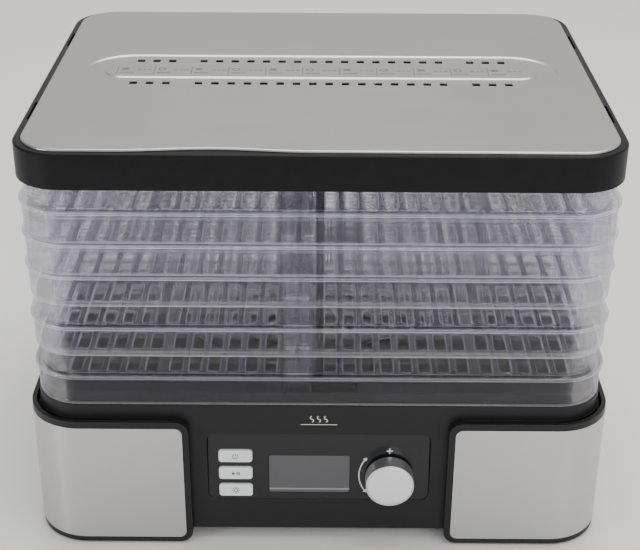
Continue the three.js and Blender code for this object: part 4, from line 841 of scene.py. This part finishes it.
lid_black = moulded_plastic("black_lid_plastic", (0.0035, 0.0037, 0.0043), (0.03, 0.03, 0.032),
                            0.34, 0.48, gloss=0.16)
lid_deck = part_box("lid_frame")[0].z + skirt_drop
rim_rise, lid_ledge = 1.1, 9.0
band_y = middle_y + 2 * mm
vent_row, vent_pitch, vent_half = 21.25 * mm, 10.1 * mm, 2.4 * mm
vent_columns, blank_column = 24, 3
louvre_x, louvre_y, louvre_half_x, louvre_half_y = 169.15 * mm, 68 * mm, 0.7 * mm, 14 * mm


def lid_ring(bm, inset, z):
    return rounded_ring(bm, tray_x - inset * mm, tray_y - inset * mm, tray_corner - inset * mm, 12,
                        at(0, middle_y, lid_deck + z * mm))


def pocket(bm, x, y, half_x, half_y, z_top, z_floor, radius):
    """A recess with its floor. Its upper rim is returned."""
    top, foot = (rounded_face(bm, half_x, half_y, radius, 3, at(x, y, z)) for z in (z_top, z_floor))
    floor_edges = list(foot.edges)
    rim = ring_of(bm, top)
    bmesh.ops.bridge_loops(bm, edges=rim + floor_edges)
    return rim


bm = bmesh.new()
skirt = [lid_ring(bm, inset, z) for inset, z in (
    (3, -2.2), (3, -19.4), (2.7, -20), (0.4, -20), (0, -19.6), (0, 0.1), (0.2, 0.45), (0.9, 1.0),
    (1.2, rim_rise))]
loft(bm, skirt)
seat = [lid_ring(bm, inset, z) for inset, z in (
    (4.3, rim_rise), (4.35, 1.0), (8.7, 1.0), (lid_ledge, 0.7), (lid_ledge, 0))]
loft(bm, seat)
louvres = [pocket(bm, x, middle_y + y, louvre_half_x, louvre_half_y, lid_deck + rim_rise * mm,
                  lid_deck - 0.9 * mm, 0.4 * mm)
           for x in (-louvre_x, louvre_x) for y in (-louvre_y, louvre_y)]
fill_between(bm, [skirt[-1], seat[0], *louvres])
slots = []
for row in (-1, 1):
    sides = [rounded_ring(bm, vent_columns / 2 * vent_pitch, vent_half + 1 * mm, 1 * mm, 3,
                          at(0, band_y + row * vent_row, lid_deck + z * mm))
             for z in (0, -2.2)]
    loft(bm, sides)
    slots.append(sides)
fill_between(bm, [seat[-1], *(s[0] for s in slots)])
fill_between(bm, [skirt[0], *(s[1] for s in slots)])
for turn, out in on_four_walls():
    underside = lid_deck - floor_thick
    column_block(bm, post_half, -out + block_gap, -out + post_deep, lid_deck - block_drop,
                 underside - 0.05 * mm, underside - 0.8 * mm, False, at(0, middle_y, 0) @ turn)
add_piece(bm, "lid_rim", lid_black, "lid", ["lid_frame"])

# ---------------------------------------------------------------- lid steel
# One stainless sheet, brushed along its length, pressed with a sunken band round a flat island. Two rows
# of square vents are punched in the band, and its front edge is drawn in to leave a finger grip.

plate_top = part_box("lid_plate")[1].z
lid_steel = brushed_steel("brushed_steel_lid", (0.60, 0.585, 0.565), (0.50, 0.487, 0.47), (7, 1900, 7))


def plate_ring(bm, inset, z):
    return rounded_ring(bm, tray_x - inset * mm, tray_y - inset * mm, tray_corner - inset * mm, 14,
                        at(0, middle_y, plate_top + z * mm))


def race_ring(bm, half_x, half_y, z):
    """A ring with round ends, as the band and the island have."""
    return rounded_ring(bm, half_x * mm, half_y * mm, half_y * mm, 14, at(0, band_y, plate_top + z * mm))


bm = bmesh.new()
edge = [plate_ring(bm, inset, z) for inset, z in (
    (4.6, -1.35), (4.6, -1.0), (4.75, -0.55), (5.15, -0.2), (5.7, -0.08))]
loft(bm, edge)
band = [race_ring(bm, 149.5 - inset, 30.7 - inset, z) for inset, z in (
    (-0.9, -0.08), (-0.3, -0.2), (0.3, -0.8), (0.9, -1.0))]
loft(bm, band)
island = [race_ring(bm, 136 + inset, 11.8 + inset, z) for inset, z in (
    (0.9, -1.0), (0.3, -0.8), (-0.3, -0.22), (-0.9, -0.1))]
loft(bm, island)
vents = []
for column in range(vent_columns):
    if column in (blank_column, vent_columns - 1 - blank_column):
        continue
    x = (column - (vent_columns - 1) / 2) * vent_pitch
    for row in (-1, 1):
        vents.append(rounded_ring(bm, vent_half, vent_half, 0.4 * mm, 2,
                                  at(x, band_y + row * vent_row, plate_top - 1.0 * mm)))
fill_between(bm, [edge[-1], band[0]])
fill_between(bm, [band[-1], island[0], *vents])
fill_between(bm, [island[-1]])
grip_x, grip_half, grip_depth = -60 * mm, 56 * mm, 3.6 * mm
plate_front, grip_steps = middle_y - tray_y + 4.6 * mm, 12
for step in range(-grip_steps, grip_steps + 1):
    everything = bm.verts[:] + bm.edges[:] + bm.faces[:]
    near = [g for g in everything if (g.co.y if isinstance(g, bmesh.types.BMVert)
                                      else min(v.co.y for v in g.verts)) < plate_front + 10 * mm]
    bmesh.ops.bisect_plane(bm, geom=near, dist=0.0001 * mm, plane_no=(1, 0, 0),
                           plane_co=(grip_x + step / grip_steps * grip_half, 0, 0))
for vert in bm.verts:
    along = abs(vert.co.x - grip_x) / grip_half
    if along < 1 and vert.co.y < plate_front + 3 * mm:
        vert.co.y += grip_depth * (0.5 + 0.5 * cos(pi * along))
bmesh.ops.remove_doubles(bm, verts=bm.verts, dist=weld)
bmesh.ops.recalc_face_normals(bm, faces=bm.faces)
if sum(f.normal.z * f.calc_area() for f in bm.faces) < 0:
    bmesh.ops.reverse_faces(bm, faces=bm.faces)
bmesh.ops.solidify(bm, geom=bm.faces[:], thickness=0.7 * mm)
add_piece(bm, "lid_sheet", lid_steel, "lid", ["lid_plate"], crease=40)

# The drying guide on the island: groups of a plain sign, a rule and short bars in grey.
guide_ink = moulded_plastic("grey_guide_ink", (0.09, 0.09, 0.09), (0.13, 0.13, 0.13), 0.4, 0.55,
                            grain=4000.0)
bm = bmesh.new()
for group in range(11):
    x = (group - 5) * 23.4 * mm
    if group % 2:
        arc(bm, x - 7 * mm, 2.6 * mm, 2.2 * mm, 0.7 * mm, 0, 2 * pi, 16)
    else:
        for step, length in enumerate((2.6, 1.7, 2.6)):
            bar(bm, x - 7 * mm, (1.3 + 1.4 * step) * mm, length * mm, 0.45 * mm)
    bar(bm, x - 11.6 * mm, 0, 0.22 * mm, 7 * mm)
    bar(bm, x - 5.4 * mm, -4.2 * mm, 4.6 * mm, 0.45 * mm)
    for step, length in ((0, 1.2), (1, 0.8), (2, 1.2)):
        bar(bm, x + (2.2 + 3.2 * step) * mm, 1.2 * mm, length * mm, 0.4 * mm)
print_on(bm, "drying_guide", guide_ink, at(0, band_y, plate_top - 0.1 * mm), "lid")

# ---------------------------------------------------------------- what stays as the CAD made it
# Feet, screws, grille, bottom cover, gland and everything inside the base keep their CAD shapes. Each gets
# the finish of what it is: zinc-plated steel, laminate, mica, resistance wire, or a moulded plastic.


def plated_steel(name, colour, dull):
    """Zinc-plated steel with a faint crystal bloom and rubbed edges."""
    material, tree, shader = new_material(name, metallic=1.0)
    crystals = tree.nodes.new("ShaderNodeTexVoronoi")
    crystals.inputs["Scale"].default_value = 420
    tree.links.new(object_place(tree), crystals.inputs["Vector"])
    bloom = times(tree, crystals.outputs["Distance"], 0.8)
    lightened = plus(tree, bloom, use_group(tree, wear_group, 1.0))
    between(tree, lightened, dull, colour, shader.inputs["Base Color"])
    smudged(tree, 0.28, 0.45, shader)
    bump(tree, crystals.outputs["Distance"], 0.01 * mm, shader, 0.4)
    return material


def woven_laminate(name, colour, weave_colour):
    """Glass laminate of a circuit board, its weave just visible through the green coat."""
    material, tree, shader = new_material(name)
    axes = tree.nodes.new("ShaderNodeSeparateXYZ")
    tree.links.new(object_place(tree), axes.inputs[0])
    warp, weft = (maths(tree, "SINE", times(tree, axes.outputs[axis], 5200.0)) for axis in ("X", "Z"))
    weave = plus(tree, times(tree, warp, weft), 1.0)
    between(tree, times(tree, weave, 0.5), colour, weave_colour, shader.inputs["Base Color"])
    smudged(tree, 0.25, 0.4, shader)
    bump(tree, weave, 0.01 * mm, shader, 0.4)
    return material


def flaked_mica(name, colour, flake_colour):
    """Pressed mica sheet: pearly flakes in a pale brown binder."""
    material, tree, shader = new_material(name)
    flakes = tree.nodes.new("ShaderNodeTexVoronoi")
    flakes.inputs["Scale"].default_value = 240
    tree.links.new(object_place(tree), flakes.inputs["Vector"])
    between(tree, flakes.outputs["Distance"], colour, flake_colour, shader.inputs["Base Color"])
    between(tree, flakes.outputs["Distance"], 0.25, 0.6, shader.inputs["Roughness"])
    bump(tree, flakes.outputs["Distance"], 0.04 * mm, shader, 0.6)
    return material


def oxidised_wire(name, colour, heat_colour):
    """Resistance wire, browned unevenly by heat."""
    material, tree, shader = new_material(name, metallic=1.0)
    place = object_place(tree)
    heat = noise(tree, place, 90, 4, 0.6)
    between(tree, heat, colour, heat_colour, shader.inputs["Base Color"])
    between(tree, heat, 0.3, 0.6, shader.inputs["Roughness"])
    bump(tree, noise(tree, place, 3000, 2), 0.01 * mm, shader, 0.5)
    return material


finishes = {
    "zinc_steel": plated_steel("zinc_plated_steel", (0.64, 0.65, 0.66), (0.50, 0.51, 0.53)),
    "dark_plastic": moulded_plastic("dark_plastic", (0.03, 0.031, 0.033), (0.07, 0.07, 0.073), 0.4, 0.58),
    "black_satin": black_satin,
    "circuit_board": woven_laminate("circuit_laminate", (0.02, 0.11, 0.045), (0.03, 0.16, 0.07)),
    "mica": flaked_mica("mica_sheet", (0.42, 0.35, 0.25), (0.62, 0.56, 0.44)),
    "heating_wire": oxidised_wire("resistance_wire", (0.42, 0.40, 0.38), (0.30, 0.20, 0.14)),
    "white_plastic": moulded_plastic("white_plastic", (0.66, 0.65, 0.62), (0.76, 0.75, 0.73), 0.35, 0.5),
    "rubber": moulded_plastic("black_rubber", (0.018, 0.018, 0.018), (0.035, 0.035, 0.035), 0.65, 0.85,
                              grain=900.0, depth=0.04 * mm),
}
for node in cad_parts.values():
    for held in node.material_slots:
        if held.material and held.material.name in finishes:
            held.material = finishes[held.material.name]

# ---------------------------------------------------------------- floor, light and camera
# A pale floor, a broad soft light overhead, a tall window-like light at the front left and a fill.
# The camera looks down on the front from a little above the lid.

floor_material, floor_tree, floor_shader = new_material("pale_floor")
floor_place = object_place(floor_tree)
between(floor_tree, noise(floor_tree, floor_place, 6, 3), (0.84, 0.84, 0.85), (0.88, 0.875, 0.87),
        floor_shader.inputs["Base Color"])
between(floor_tree, noise(floor_tree, floor_place, 30, 3), 0.28, 0.4, floor_shader.inputs["Roughness"])
bm = bmesh.new()
bmesh.ops.create_grid(bm, x_segments=2, y_segments=2, size=6)
floor = into_scene("floor", as_mesh(bm, "floor"))
floor.data.materials.append(floor_material)

world = bpy.data.worlds.new("studio")
world.use_nodes = True
bpy.context.scene.world = world
sky = world.node_tree
# The room is dimmer to the left, as beside a doorway.
way = sky.nodes.new("ShaderNodeSeparateXYZ")
sky.links.new(sky.nodes.new("ShaderNodeTexCoord").outputs["Generated"], way.inputs[0])
dim = sky.nodes.new("ShaderNodeMapRange")
dim.interpolation_type = "SMOOTHSTEP"
for label, value in (("From Min", -0.95), ("From Max", -0.35)):
    dim.inputs[label].default_value = value
sky.links.new(way.outputs["X"], dim.inputs["Value"])
between(sky, dim.outputs["Result"], (0.30, 0.29, 0.28), (0.88, 0.86, 0.83),
        sky.nodes["Background"].inputs["Color"])
sky.nodes["Background"].inputs["Strength"].default_value = 0.9

for name, spot, aim, size, power, tint in (
        ("overhead", (0.2, 0.3, 1.7), (0, 0, 0.1), (1.6, 1.2), 24, (1, 0.98, 0.95)),
        ("window", (-1.05, -0.75, 0.42), (0, 0, 0.12), (0.12, 0.6), 4, (0.9, 0.96, 1)),
        ("fill", (0.9, -1.6, 1.0), (0, 0, 0.1), (1.4, 1.0), 10, (1, 0.98, 0.96))):
    lamp = bpy.data.lights.new(name, "AREA")
    lamp.shape, (lamp.size, lamp.size_y) = "RECTANGLE", size
    lamp.energy, lamp.color = power, tint
    light = into_scene(name, lamp)
    light.location = spot
    light.rotation_mode = "QUATERNION"
    light.rotation_quaternion = (Vector(aim) - Vector(spot)).to_track_quat("-Z", "Y")

eye = (0.000586, -0.80403, 0.53779)
pitch, yaw, roll = radians(27.528), radians(0.038), radians(0.334)
ahead = Vector((-sin(yaw) * cos(pitch), cos(yaw) * cos(pitch), -sin(pitch)))
right = Vector((cos(yaw), sin(yaw), 0))
up = right.cross(ahead)
tilted_right = right * cos(roll) + up * sin(roll)
tilted_up = up * cos(roll) - right * sin(roll)
lens = bpy.data.cameras.new("camera")
lens.lens, lens.sensor_width, lens.clip_start = 75.15, 36, 0.01
camera = into_scene("camera", lens)
camera.matrix_world = at(*eye) @ Matrix((tilted_right, tilted_up, -ahead)).transposed().to_4x4()
bpy.context.scene.camera = camera
